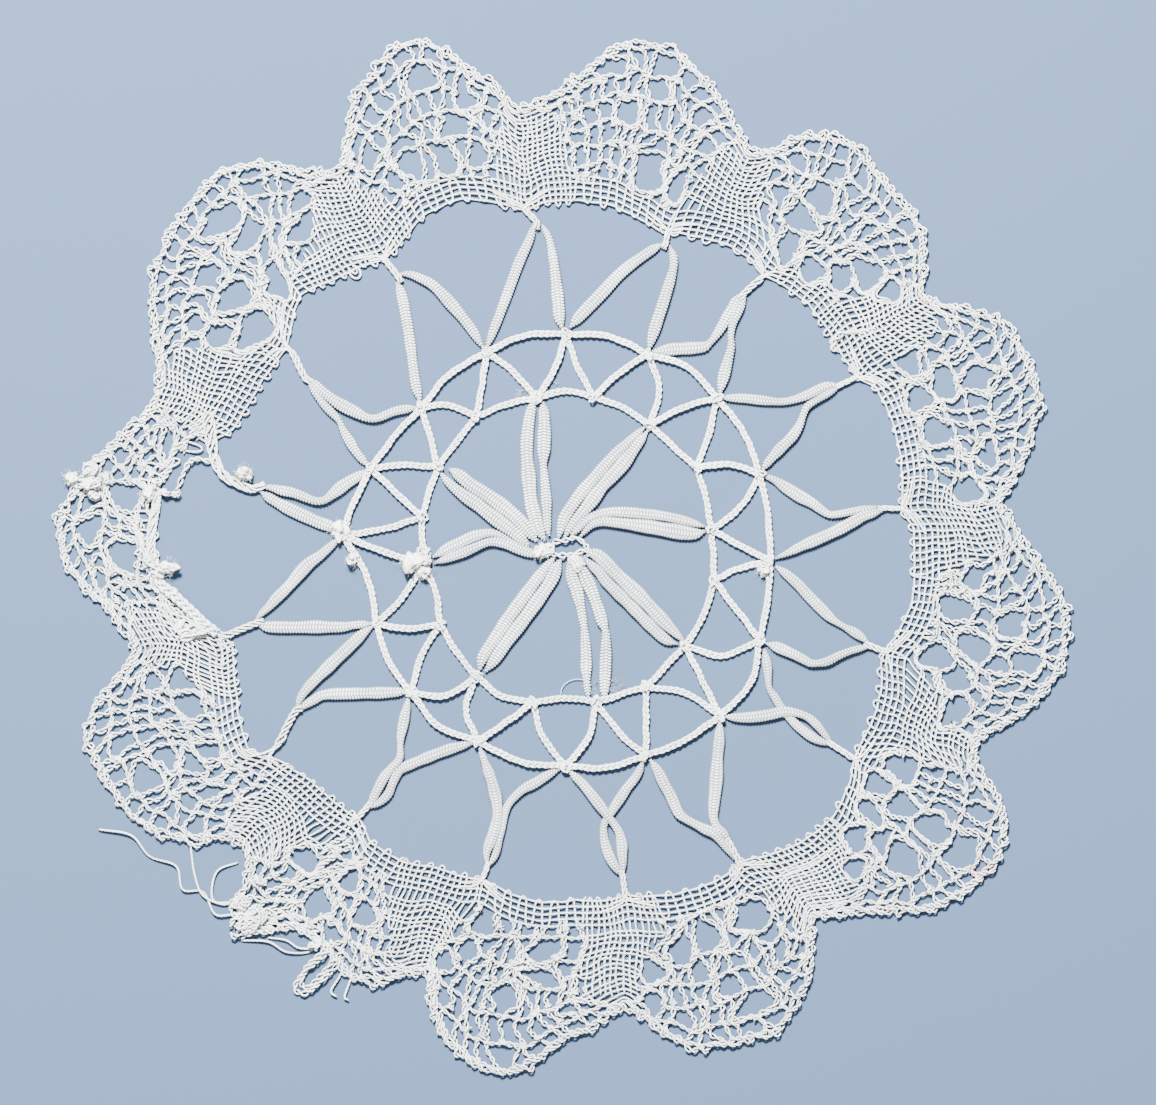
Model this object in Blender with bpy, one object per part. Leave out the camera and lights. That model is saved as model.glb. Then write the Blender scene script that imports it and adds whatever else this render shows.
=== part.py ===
"""A round lace doily of bobbin lace, worked in one piece and lying flat.

Every bearing is in degrees clockwise from the top of the cloth (+Y), and every table size is in millimetres,
measured from the middle of the star. A heart of woven leaves sits in two rings of plaits, a wreath of leaves
joins those rings to the band, and the band is a narrow footing under twelve net scallops. The shapes are laid
out flat as polygons, joined into one outline, and raised into one solid with crests along leaves and plaits.
"""

import math

import bmesh
import bpy
import numpy as np
from mathutils import Vector
from mathutils.geometry import delaunay_2d_cdt

MM = 0.001

# thickness of the cloth at its edges and along its crests
SHEET = 1.0
LEAF_CREST = 1.5
PLAIT_CREST = 1.3
RIM_CREST = 1.35
BLOCK_CREST = 1.3

# widths and outline steps
PLAIT_WIDTH = 0.95
STRAY_WIDTH = 0.6
STALK_REACH = 0.6
STALK_SPREAD = 0.5
JOIN_RADIUS = 0.95
HEART_RADIUS = 2.7
LEAF_STEPS = 5
PLAIT_STEPS = 4
RIM_INSET = 0.75
WELD = 0.02

# the two rings of plaits: ring bows are positive outwards, tie bows positive clockwise
# (outer bearing, outer radius, outer bow, inner bearing, inner radius, inner bow, tie back bow, tie on bow)
PLAITS = [
    (0.3, 27.3, 1.0, 349.5, 19.5, 0.8, 0.5, -0.4),
    (23.1, 26.9, 1.3, 10.8, 19.7, 0.4, -0.4, 1.3),
    (45.2, 27.2, 0.8, 34.4, 19.1, 0.0, -0.5, 0.3),
    (69.0, 26.5, 0.4, 58.3, 19.6, 0.3, -0.9, 0.9),
    (93.4, 26.1, 0.3, 82.6, 18.7, 0.1, 0.0, -0.4),
    (115.0, 27.3, 1.5, 101.8, 19.3, 0.6, 0.0, 1.6),
    (137.1, 28.9, 0.6, 128.9, 19.6, 0.0, 0.0, -1.1),
    (158.6, 28.2, 0.8, 149.6, 20.3, 0.0, 0.0, 0.5),
    (179.7, 27.6, 1.0, 168.5, 19.8, -0.5, -1.0, 0.9),
    (204.4, 26.8, 1.4, 191.8, 19.9, 0.9, -0.1, 1.4),
    (227.1, 26.7, 0.8, 215.0, 19.7, 0.3, -1.5, 0.6),
    (248.3, 25.7, -1.0, 239.0, 18.5, -0.5, -0.6, -0.5),
    (273.6, 28.3, 0.3, 264.3, 18.0, 0.1, -0.3, -0.4),
    (292.4, 26.7, 0.3, 282.6, 18.6, 0.1, 0.0, 0.4),
    (314.8, 25.6, 0.9, 302.8, 19.2, 0.1, 0.0, 0.8),
    (338.4, 26.9, 1.0, 326.3, 20.2, 0.4, 0.0, 0.4),
]

# leaves of the heart: (width, route from the inner ring to the middle as bearing, radius)
HEART_LEAVES = [
    (1.8, [(346.7, 19.4), (337.0, 13.7), (322.9, 7.8), (284.0, 2.1)]),
    (1.5, [(351.6, 19.2), (352.2, 15.0), (344.8, 10.7), (337.8, 6.0), (315.0, 1.6)]),
    (1.7, [(32.4, 18.6), (22.9, 9.8), (346.8, 1.8)]),
    (1.5, [(36.0, 18.6), (32.9, 9.8), (26.6, 1.4)]),
    (1.5, [(81.0, 18.8), (67.7, 12.6), (52.0, 8.3), (41.8, 4.8), (31.6, 1.6)]),
    (1.4, [(84.0, 18.6), (77.9, 11.5), (62.2, 6.7), (56.0, 4.0), (59.0, 1.8)]),
    (1.7, [(127.4, 19.4), (122.1, 11.2), (102.7, 5.2), (80.0, 1.9)]),
    (1.5, [(130.6, 19.2), (131.7, 11.1), (127.9, 4.3), (105.5, 2.0)]),
    (1.5, [(170.9, 19.4), (168.8, 13.7), (166.1, 9.5), (169.0, 5.3), (162.9, 1.7)]),
    (1.5, [(164.6, 19.8), (159.3, 15.1), (152.3, 11.2), (147.9, 6.4), (124.5, 2.2)]),
    (1.8, [(215.6, 19.0), (220.8, 11.1), (223.9, 4.6), (212.5, 1.7)]),
    (1.5, [(213.0, 19.0), (210.5, 10.8), (202.6, 5.0), (188.1, 1.8)]),
    (1.8, [(268.4, 17.6), (278.2, 12.4), (284.0, 8.9), (274.3, 5.1), (261.5, 2.0)]),
    (1.4, [(264.6, 17.6), (271.2, 12.1), (278.4, 8.7), (268.7, 5.7), (247.6, 2.0)]),
    (1.9, [(304.0, 19.0), (308.0, 11.8), (305.4, 5.9), (281.3, 2.2)]),
    (1.8, [(302.0, 19.0), (295.8, 12.0), (282.4, 6.5), (263.2, 2.6)]),
]

# points of the wreath, where two leaves meet, and the stalk from each into the band
# (bearing, radius, stalk width, stalk top bearing, stalk top radius)
POINTS = [
    (18.2, 41.2, 1.1, 17.5, 43.6),
    (35.0, 39.7, 0.9, 35.7, 44.4),
    (59.8, 42.0, 0.9, 59.6, 44.5),
    (83.0, 42.0, 0.9, 83.2, 44.5),
    (107.6, 41.2, 1.1, 107.8, 44.0),
    (125.7, 43.6, 1.0, 126.0, 46.9),
    (150.6, 42.7, 1.2, 150.6, 46.9),
    (170.0, 43.0, 0.8, 170.0, 46.1),
    (193.3, 42.6, 0.9, 193.5, 44.7),
    (217.4, 42.0, 1.0, 217.2, 44.5),
    (239.3, 39.6, 1.3, 235.0, 47.4),
    (256.5, 40.2, 1.2, 255.4, 46.2),
    (280.9, 39.6, 1.4, 285.6, 47.2),
    (303.2, 39.2, 1.1, 305.6, 45.2),
    (328.8, 40.4, 1.3, 328.4, 44.8),
    (355.1, 41.7, 1.0, 353.6, 44.7),
]

# leaves of the wreath: (point, outer plait join, width, bends as bearing, radius), both counted from 0
WREATH_LEAVES = [
    (15, 15, 1.8, [(352.3, 37.7), (346.9, 32.5)]),
    (15, 0, 1.5, [(356.6, 36.8), (358.4, 31.6)]),
    (0, 0, 1.8, [(13.7, 37.5), (7.9, 32.2)]),
    (0, 1, 1.5, [(20.6, 37.6), (22.1, 33.0)]),
    (1, 1, 1.5, [(36.7, 34.7), (34.8, 31.8), (29.8, 29.4)]),
    (1, 2, 1.5, [(39.5, 33.6), (42.1, 30.7)]),
    (2, 2, 1.4, [(58.7, 36.0), (56.3, 33.4), (50.8, 30.3)]),
    (2, 3, 1.6, [(61.0, 34.8), (64.1, 30.8)]),
    (3, 3, 1.5, [(81.4, 37.8), (81.9, 34.3), (77.5, 30.6)]),
    (3, 4, 1.5, [(83.6, 37.7), (87.3, 32.4)]),
    (4, 4, 1.5, [(105.3, 36.2), (100.9, 31.4)]),
    (4, 5, 1.5, [(111.4, 37.5), (114.5, 34.9), (114.7, 30.7)]),
    (5, 5, 1.4, [(126.4, 40.0), (125.9, 34.2), (124.0, 31.1), (119.0, 29.0)]),
    (5, 6, 1.5, [(124.9, 40.0), (125.0, 36.0), (130.1, 32.4)]),
    (6, 6, 1.8, [(150.3, 39.1), (145.3, 34.1)]),
    (6, 7, 1.5, [(152.3, 40.0), (156.0, 37.1), (157.7, 33.1)]),
    (7, 7, 1.5, [(172.9, 37.2), (169.5, 33.5), (165.1, 31.0)]),
    (7, 8, 1.4, [(168.9, 36.8), (172.2, 32.8), (175.9, 30.0)]),
    (8, 8, 1.5, [(192.4, 36.1), (191.4, 32.5), (186.6, 29.8)]),
    (8, 9, 1.5, [(195.1, 37.9), (195.3, 33.1), (199.4, 29.5)]),
    (9, 9, 1.5, [(215.2, 38.6), (215.6, 34.3), (211.6, 30.3)]),
    (9, 10, 1.4, [(218.6, 36.4), (220.0, 32.4), (222.6, 29.5)]),
    (10, 10, 1.5, [(237.6, 34.6), (234.0, 30.5)]),
    (10, 11, 1.5, [(241.7, 35.7), (244.3, 31.0)]),
    (11, 11, 1.6, [(254.6, 36.2), (251.6, 31.4)]),
    (11, 12, 1.5, [(260.1, 36.1), (265.9, 32.2)]),
    (12, 12, 1.5, [(278.4, 36.0), (276.2, 31.9)]),
    (12, 13, 1.6, [(281.3, 35.6), (281.6, 32.0), (286.2, 29.1)]),
    (13, 13, 1.5, [(300.6, 35.4), (296.9, 30.6)]),
    (13, 14, 1.5, [(302.6, 34.9), (303.9, 29.8), (309.8, 27.6)]),
    (14, 14, 1.6, [(326.0, 36.6), (322.3, 32.0)]),
    (14, 15, 1.6, [(331.9, 37.7), (335.4, 32.7)]),
]

# inner edge of the band, a row from each point's stalk to the next
# (stalk bearing, then the radius at each share of the way in FOOT_SHARES)
FOOT_SHARES = (0.0, 0.12, 0.35, 0.6, 0.85)
FOOT = [
    (17.5, 42.0, 42.5, 43.0, 43.7, 43.5),
    (35.7, 42.8, 43.4, 43.7, 43.3, 42.7),
    (59.6, 42.9, 44.3, 44.5, 44.1, 43.4),
    (83.2, 42.9, 44.1, 44.2, 44.5, 43.5),
    (107.8, 42.4, 42.6, 43.8, 44.5, 44.9),
    (126.0, 45.3, 46.6, 48.0, 47.7, 46.4),
    (150.6, 45.3, 46.0, 46.1, 45.8, 45.1),
    (170.0, 44.5, 44.8, 44.4, 44.8, 44.0),
    (193.5, 43.1, 43.4, 43.4, 44.6, 44.5),
    (217.2, 42.9, 43.2, 43.3, 43.5, 44.6),
    (235.0, 45.8, 47.5, 46.4, 45.0, 43.8),
    (256.5, 44.7, 47.2, 50.7, 51.9, 52.4),
    (281.5, 51.6, 48.6, 44.5, 43.9, 43.7),
    (305.6, 43.6, 44.5, 46.6, 44.9, 43.9),
    (328.4, 43.2, 43.9, 45.9, 46.3, 44.3),
    (353.6, 43.1, 44.0, 44.1, 43.9, 42.6),
]

# outer edge of the band, a row for each scallop from its first valley
# (valley bearing, then the radius at each share of the way in RIM_SHARES)
RIM_SHARES = (0.0, 0.08, 0.18, 0.28, 0.38, 0.5, 0.62, 0.72, 0.82, 0.92)
RIM = [
    (25.0, 56.0, 57.3, 61.4, 63.0, 63.6, 62.5, 62.0, 61.9, 60.6, 58.1),
    (54.5, 56.0, 57.2, 60.5, 63.2, 63.8, 64.1, 63.6, 61.6, 60.1, 57.6),
    (84.0, 55.9, 57.1, 59.1, 61.5, 64.1, 65.0, 65.2, 64.0, 62.4, 59.8),
    (115.0, 57.8, 58.9, 65.1, 67.5, 68.1, 67.4, 65.8, 62.8, 60.1, 58.2),
    (146.0, 56.5, 59.7, 63.5, 65.4, 67.4, 66.9, 66.5, 66.1, 64.0, 60.6),
    (172.5, 58.7, 59.6, 61.6, 62.3, 64.5, 67.2, 67.4, 66.4, 64.8, 61.4),
    (198.0, 56.6, 57.9, 60.2, 61.4, 60.2, 59.1, 59.6, 62.4, 63.3, 57.3),
    (227.0, 56.0, 56.3, 60.7, 63.6, 65.2, 65.6, 65.9, 66.0, 63.9, 59.4),
    (256.5, 56.3, 57.0, 58.7, 61.9, 64.2, 64.9, 63.4, 61.5, 59.0, 56.9),
    (289.5, 56.0, 56.2, 58.3, 61.3, 63.6, 64.8, 65.2, 65.5, 63.1, 58.5),
    (328.5, 56.3, 57.5, 61.0, 64.3, 65.4, 67.8, 67.7, 65.4, 62.1, 59.8),
    (353.6, 56.4, 57.1, 58.5, 61.0, 64.4, 65.6, 65.0, 62.9, 60.5, 57.9),
]

# the wider gaps in each scallop's net, in the order of RIM: (bearing, radius, width, height)
NET_GAPS = [
    [(36.2, 54.9, 3.8, 3.3), (35.8, 51.4, 4.3, 2.3), (36.6, 47.4, 2.5, 3.6), (41.5, 47.4, 3.3, 2.8),
     (48.0, 51.8, 3.6, 3.3), (51.4, 52.6, 2.5, 2.8), (44.8, 49.4, 2.5, 2.5)],
    [(67.2, 56.8, 2.3, 4.3), (66.7, 52.3, 3.8, 2.7), (67.0, 48.9, 3.2, 3.3), (72.5, 49.4, 3.6, 2.8),
     (77.3, 55.1, 3.6, 2.0), (81.8, 51.8, 3.0, 3.3), (62.0, 49.7, 2.8, 2.3)],
    [(99.8, 57.4, 3.3, 3.0), (103.7, 60.3, 2.5, 3.8), (98.4, 50.0, 2.8, 4.1), (103.0, 53.2, 2.5, 3.8),
     (112.4, 53.6, 4.3, 2.8), (106.3, 48.8, 3.0, 3.6), (94.2, 51.9, 3.0, 2.3), (108.6, 51.9, 2.4, 2.6)],
    [(127.5, 63.2, 4.8, 3.2), (127.3, 58.4, 3.3, 4.2), (132.4, 57.8, 3.8, 3.8), (127.2, 53.6, 3.2, 3.4),
     (123.0, 51.1, 3.1, 4.1), (127.0, 49.6, 2.6, 3.2), (130.8, 51.1, 1.9, 4.1), (134.6, 51.9, 3.0, 2.5),
     (122.3, 62.6, 2.1, 2.8), (132.3, 54.3, 3.0, 1.7), (137.6, 54.7, 2.5, 2.3)],
    [(157.4, 62.6, 5.1, 2.3), (153.3, 52.5, 4.3, 2.5), (159.6, 52.3, 3.0, 3.0), (163.8, 53.0, 3.0, 3.0),
     (168.0, 55.0, 2.8, 2.5), (159.3, 59.3, 2.8, 2.2), (168.9, 58.7, 1.8, 3.0)],
    [(183.2, 54.5, 5.0, 1.8), (187.6, 57.3, 3.3, 2.5), (182.8, 50.9, 3.8, 2.0), (192.3, 48.8, 2.8, 2.8),
     (193.6, 52.2, 2.4, 2.4), (196.2, 54.4, 1.8, 2.6), (186.8, 64.4, 2.8, 1.8)],
    [(214.8, 55.0, 3.0, 3.8), (213.0, 50.3, 2.3, 2.8), (219.9, 51.4, 3.3, 2.8), (211.0, 57.1, 2.3, 2.0),
     (208.8, 53.0, 2.8, 2.8)],
    [(241.5, 60.6, 3.8, 3.0), (247.7, 51.7, 3.0, 2.8), (232.9, 58.7, 2.3, 2.1), (251.4, 52.0, 2.6, 2.0),
     (252.2, 55.0, 2.3, 2.1), (242.2, 57.0, 3.0, 1.7), (240.2, 54.4, 3.6, 1.6)],
    [(272.2, 60.3, 3.6, 2.1), (269.8, 56.3, 2.6, 3.4), (277.0, 56.3, 3.2, 4.0), (284.8, 52.6, 4.4, 1.8),
     (281.8, 57.6, 1.8, 1.8)],
    [(313.8, 60.2, 5.8, 2.8), (307.6, 57.1, 3.8, 2.0), (314.0, 56.4, 4.0, 2.2), (307.4, 52.8, 4.6, 3.0),
     (312.4, 49.4, 2.6, 3.2), (305.3, 48.3, 5.4, 3.4), (301.8, 51.6, 2.6, 2.2), (320.2, 52.6, 3.6, 2.4),
     (322.9, 55.4, 3.0, 1.7), (301.4, 55.0, 2.3, 2.0)],
    [(343.4, 62.4, 3.0, 3.0), (338.0, 52.8, 2.5, 3.0), (343.2, 51.4, 2.2, 3.6), (347.6, 51.2, 2.3, 2.8),
     (345.0, 55.5, 3.6, 2.0), (347.5, 58.2, 2.8, 1.8)],
    [(12.8, 48.4, 3.2, 3.8), (17.2, 48.3, 1.9, 4.6), (8.6, 56.1, 2.0, 3.1), (11.9, 59.4, 2.0, 2.4),
     (12.3, 62.6, 2.4, 1.9), (6.4, 61.7, 2.1, 2.1)],
]

# blocks of close weaving, one inside each valley: (foot bearing, foot radius, top bearing, top radius)
BLOCKS = [
    (26.0, 45.5, 25.0, 54.2), (55.0, 45.2, 55.8, 54.2), (84.6, 45.4, 85.4, 54.2), (115.2, 46.2, 116.8, 54.8),
    (141.2, 49.2, 145.4, 54.4), (171.0, 47.2, 173.8, 56.4), (200.8, 45.4, 202.2, 54.6),
    (225.0, 45.2, 228.0, 54.2), (251.8, 46.4, 257.6, 54.2), (292.6, 46.2, 293.6, 54.0),
    (326.4, 46.2, 327.8, 54.4), (353.8, 45.6, 355.0, 54.4),
]

# knots: (bearing, radius, width, height, crest)
KNOTS = [
    (265.0, 18.9, 3.4, 4.2, 2.4), (269.0, 28.0, 2.4, 2.8, 1.9), (266.8, 3.2, 2.8, 2.6, 1.7),
    (152.0, 2.6, 3.0, 2.0, 1.6), (277.9, 61.4, 4.0, 4.6, 2.6), (277.6, 51.8, 2.6, 4.4, 2.3),
    (282.8, 42.3, 2.2, 3.2, 2.2), (267.4, 50.6, 2.4, 3.2, 2.0), (258.6, 47.9, 3.6, 3.8, 1.9),
    (220.4, 61.6, 3.8, 5.2, 2.3), (96.5, 25.0, 2.0, 1.7, 1.6), (222.6, 57.6, 3.0, 2.4, 1.8),
]

# single threads that have come loose: routes as bearing, radius
STRAYS = [
    [(209.3, 58.8), (209.6, 63.0), (210.5, 65.6), (211.5, 64.0), (211.4, 59.0)],
    [(206.0, 60.8), (206.4, 64.2)],
    [(207.6, 60.6), (208.2, 64.2)],
    [(213.4, 58.4), (213.6, 61.2), (215.6, 62.6), (218.4, 62.4), (220.8, 64.6), (223.2, 64.0), (224.8, 65.6),
     (227.4, 64.2), (230.0, 64.4), (232.4, 65.9), (234.8, 66.4), (237.0, 69.0)],
    [(222.4, 62.2), (225.2, 62.4), (226.6, 59.6), (225.8, 56.6)],
    [(224.8, 63.2), (227.8, 64.0), (229.6, 62.2), (231.6, 60.6)],
    [(278.6, 52.0), (280.4, 52.3), (282.5, 50.3), (283.7, 47.7), (285.4, 46.4)],
]
PICOT_LOOPS = [(52.6, 42.0), (322.8, 43.6)]


def place(bearing, radius):
    """The point at a bearing and radius, in millimetres."""
    turn = math.radians(bearing)
    return np.array((radius * math.sin(turn), radius * math.cos(turn)))


def smooth_route(knots, steps):
    """A Catmull-Rom curve through the knots, read at steps + 1 even shares of its length."""
    knots = np.array(knots, float)
    padded = np.vstack([2 * knots[0] - knots[1], knots, 2 * knots[-1] - knots[-2]])
    share = np.linspace(0, 1, 12, endpoint=False)[:, None]
    curve = []
    for a, b, c, d in zip(padded, padded[1:], padded[2:], padded[3:]):
        bend = (2 * a - 5 * b + 4 * c - d) * share**2 + (3 * b - a - 3 * c + d) * share**3
        curve.append(b + 0.5 * ((c - a) * share + bend))
    curve = np.vstack([*curve, knots[-1]])
    length = np.concatenate([[0], np.cumsum(np.linalg.norm(np.diff(curve, axis=0), axis=1))])
    wanted = np.linspace(0, length[-1], steps + 1)
    return np.column_stack([np.interp(wanted, length, curve[:, i]) for i in (0, 1)])


def strip(route, half_widths):
    """The outline of a ribbon along a route. A half width of 0 makes a pointed end."""
    along = np.gradient(route, axis=0)
    across = np.column_stack([-along[:, 1], along[:, 0]])
    across /= np.linalg.norm(across, axis=1)[:, None]
    half = np.array(half_widths)[:, None]
    left, right = route + across * half, route - across * half
    back = right[::-1]
    return np.vstack([left, back[1 if half_widths[-1] == 0 else 0 : -1 if half_widths[0] == 0 else None]])


def rounded(middle, width, height, sides, turn=0.0):
    """An oval of straight sides, its height along the radius through its middle."""
    angle = math.radians(turn)
    round_about = 2 * math.pi * (np.arange(sides) + 0.5) / sides
    x, y = width / 2 * np.sin(round_about), height / 2 * np.cos(round_about)
    turned_x = x * math.cos(angle) + y * math.sin(angle)
    turned_y = y * math.cos(angle) - x * math.sin(angle)
    return np.column_stack([turned_x, turned_y]) + middle


def bowed(start, end, bow):
    """Three knots of a route that bows to the left of its direction by the given amount."""
    across = np.array((start[1] - end[1], end[0] - start[0]))
    across /= np.linalg.norm(across)
    return [start, (start + end) / 2 + across * bow, end]


def table_corners(rows, shares):
    """The corners of a closed edge at the table's own shares."""
    ends = [row[0] for row in rows[1:]] + [rows[0][0]]
    corners = []
    for row, end in zip(rows, ends):
        span = (end - row[0]) % 360
        corners += [place(row[0] + share * span, radius) for share, radius in zip(shares, row[1:])]
    return np.array(corners)


def make_leaves():
    """The outline and crest of every woven leaf."""
    taper = np.array([0.45, *[1.0] * (LEAF_STEPS - 1), 0.45])
    outlines, crests = [], []
    routes = [(width, [place(*knot) for knot in route]) for width, route in HEART_LEAVES]
    for point, join, width, bends in WREATH_LEAVES:
        ends = place(*POINTS[point][:2]), place(*PLAITS[join][:2])
        routes.append((width, [ends[0], *[place(*bend) for bend in bends], ends[1]]))
    for width, knots in routes:
        route = smooth_route(knots, LEAF_STEPS)
        outlines.append(strip(route, width / 2 * taper))
        crests.append((route, LEAF_CREST))
    return outlines, crests


def make_plaits():
    """The outline and crest of the ring plaits and the ties between the rings."""
    outer = [place(row[0], row[1]) for row in PLAITS]
    inner = [place(row[3], row[4]) for row in PLAITS]
    outlines, crests = [], []
    for i, row in enumerate(PLAITS):
        after = (i + 1) % len(PLAITS)
        routes = [
            bowed(outer[i], outer[after], row[2]),
            bowed(inner[i], inner[after], row[5]),
            bowed(inner[i], outer[i], -row[6]),
            bowed(inner[after], outer[i], -row[7]),
        ]
        for knots in routes:
            route = smooth_route(knots, PLAIT_STEPS)
            outlines.append(strip(route, [PLAIT_WIDTH / 2] * len(route)))
            crests.append((route, PLAIT_CREST))
    for middle in outer + inner:
        outlines.append(rounded(middle, 2 * JOIN_RADIUS, 2 * JOIN_RADIUS, 7))
    return outlines, crests


def make_stalks():
    """The short stalk of joined pairs from each point of the wreath into the band, spreading as it enters."""
    outlines = []
    for bearing, radius, width, top_bearing, top_radius in POINTS:
        below, above = place(bearing, radius - STALK_REACH), place(bearing, radius + STALK_REACH)
        route = np.array([below, above, place(top_bearing, top_radius)])
        outlines.append(strip(route, [width / 2, width / 2, width / 2 + STALK_SPREAD]))
    return outlines


def make_knots_and_strays():
    """The lumps where the thread was knotted, and the threads that have come loose."""
    outlines, crests = [], []
    for bearing, radius, width, height, crest in KNOTS:
        middle = place(bearing, radius)
        outlines.append(rounded(middle, width, height, 8, bearing))
        upright = place(bearing, 1.0) * height * 0.22
        crests.append((np.array([middle - upright, middle + upright]), crest))
    for knots in STRAYS:
        route = smooth_route([place(*knot) for knot in knots], 2 * len(knots) - 2)
        outlines.append(strip(route, [STRAY_WIDTH / 2] * len(route)))
    for bearing, radius in PICOT_LOOPS:
        outlines.append(rounded(place(bearing, radius), 1.0, 2.4, 6, bearing))
    return outlines, crests


def make_band_crests():
    """The crest along the twisted rim, and one up the middle of each block of close weaving."""
    rim = table_corners(RIM, RIM_SHARES)
    inwards = rim / np.linalg.norm(rim, axis=1)[:, None] * RIM_INSET
    crests = [(np.vstack([rim - inwards, (rim - inwards)[:1]]), RIM_CREST)]
    for foot_bearing, foot, top_bearing, top in BLOCKS:
        crests.append((np.array([place(foot_bearing, foot), place(top_bearing, top)]), BLOCK_CREST))
    return crests


def arranged(outlines, lines, output):
    """Lays closed outlines and open lines into one flat triangulation."""
    points, edges, faces = [], [], []
    for outline in outlines:
        first = len(points)
        points += [Vector(p) for p in outline]
        turned = np.cross(outline, np.roll(outline, -1, axis=0)).sum() < 0
        ring = list(range(first, len(points)))
        faces.append(ring[::-1] if turned else ring)
    for line in lines:
        first = len(points)
        points += [Vector(p) for p in line]
        edges += [(i, i + 1) for i in range(first, len(points) - 1)]
    return delaunay_2d_cdt(points, edges, faces, output, 1e-5)


def joined_boundary(cloth, band, inner_edge, gaps):
    """The edges around the union of the cloth shapes and of the band less its inner edge and gaps."""
    outlines = [band, inner_edge, *gaps, *cloth]
    voids = set(range(1, 2 + len(gaps)))
    points, _, triangles, _, _, owners = arranged(outlines, [], 1)
    kept = []
    for triangle, owner in zip(triangles, owners):
        owner = set(owner)
        in_cloth = max(owner, default=-1) >= 2 + len(gaps)
        if in_cloth or (0 in owner and not owner & voids):
            kept.append(triangle)
    mesh = bmesh.new()
    corners = [mesh.verts.new((*point, 0.0)) for point in points]
    for triangle in kept:
        mesh.faces.new([corners[i] for i in triangle])
    bmesh.ops.remove_doubles(mesh, verts=mesh.verts, dist=WELD)
    straight = math.radians(2)
    bmesh.ops.dissolve_limit(mesh, angle_limit=straight, verts=mesh.verts, edges=mesh.edges)
    segments = [[vert.co.xy.copy() for vert in edge.verts] for edge in mesh.edges if edge.is_boundary]
    mesh.free()
    return segments


def inside(points, segments):
    """Whether each point lies inside the boundary, by the count of edges that a ray to its right crosses."""
    a, b = segments[:, 0], segments[:, 1]
    low, high = points[:, None, 1] < a[None, :, 1], points[:, None, 1] < b[None, :, 1]
    rise = np.where(b[:, 1] == a[:, 1], 1.0, b[:, 1] - a[:, 1])
    meet = a[:, 0] + (points[:, None, 1] - a[:, 1]) * (b[:, 0] - a[:, 0]) / rise
    return ((low != high) & (points[:, None, 0] < meet)).sum(axis=1) % 2 == 1


def crest_heights(points, crests):
    """The height of the top at each point: a crest's own height on its line, and the sheet's elsewhere."""
    heights = np.full(len(points), SHEET)
    for line, crest in crests:
        for start, end in zip(line, line[1:]):
            run = end - start
            share = np.clip((points - start) @ run / (run @ run), 0, 1)
            off = np.linalg.norm(points - start - share[:, None] * run, axis=1)
            heights = np.where(off < WELD, np.maximum(heights, crest), heights)
    return heights


def make_solid(name, segments, crests):
    """Raises the joined outline into one closed solid that lies on z = 0."""
    lines = [line for line, _ in crests]
    points, _, triangles, _, _, _ = arranged([], [*segments, *lines], 0)
    points = np.array([tuple(point) for point in points])
    triangles = np.array(triangles)
    outline = np.array([[tuple(end) for end in segment] for segment in segments])
    triangles = triangles[inside(points[triangles].mean(axis=1), outline)]
    used, triangles = np.unique(triangles, return_inverse=True)
    points, triangles = points[used], triangles.reshape(-1, 3)
    edges = {(int(t[i]), int(t[(i + 1) % 3])) for t in triangles for i in range(3)}
    around = [(a, b) for a, b in edges if (b, a) not in edges]
    heights = crest_heights(points, crests)
    heights[[a for a, _ in around]] = SHEET
    count = len(points)
    top = np.column_stack([points, heights]) * MM
    under = np.column_stack([points, np.zeros(count)]) * MM
    faces = [tuple(map(int, triangle)) for triangle in triangles]
    faces += [(c + count, b + count, a + count) for a, b, c in faces]
    faces += [(b, a, a + count, b + count) for a, b in around]
    data = bpy.data.meshes.new(name)
    data.from_pydata([tuple(map(float, point)) for point in np.vstack([top, under])], [], faces)
    solid = bpy.data.objects.new(name, data)
    bpy.context.scene.collection.objects.link(solid)
    return solid


def centre_on_floor(solid):
    """Moves the mesh so that the middle of its box stands over the origin, with its underside at z = 0."""
    corners = np.array([corner[:] for corner in solid.bound_box])
    middle = (corners.min(axis=0) + corners.max(axis=0)) / 2
    for vert in solid.data.vertices:
        vert.co.x -= middle[0]
        vert.co.y -= middle[1]
    print("star centre, mm:", np.round(-middle[:2] / MM, 3))


def cotton_material():
    """Bleached cotton thread, matt and slightly creamy."""
    material = bpy.data.materials.new("bleached_cotton")
    material.use_nodes = True
    shader = material.node_tree.nodes["Principled BSDF"]
    shader.inputs["Base Color"].default_value = (0.84, 0.84, 0.79, 1.0)
    shader.inputs["Roughness"].default_value = 0.9
    shader.inputs["Metallic"].default_value = 0.0
    return material


def main():
    for item in list(bpy.data.objects):
        bpy.data.objects.remove(item, do_unlink=True)
    leaves, leaf_crests = make_leaves()
    plaits, plait_crests = make_plaits()
    knots, knot_crests = make_knots_and_strays()
    heart = rounded(place(0, 0), 2 * HEART_RADIUS, 2 * HEART_RADIUS, 12)
    cloth = [heart, *leaves, *plaits, *make_stalks(), *knots]
    gaps = [
        rounded(place(bearing, radius), width, height, 8 if width * height > 9 else 6, bearing)
        for scallop in NET_GAPS
        for bearing, radius, width, height in scallop
    ]
    band, inner_edge = table_corners(RIM, RIM_SHARES), table_corners(FOOT, FOOT_SHARES)
    segments = joined_boundary(cloth, band, inner_edge, gaps)
    crests = leaf_crests + plait_crests + knot_crests + make_band_crests()
    doily = make_solid("lace_doily", segments, crests)
    doily.data.materials.append(cotton_material())
    centre_on_floor(doily)


main()
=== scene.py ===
# Makes the thread and weave of the round lace doily over its plain solid.
import math

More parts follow.
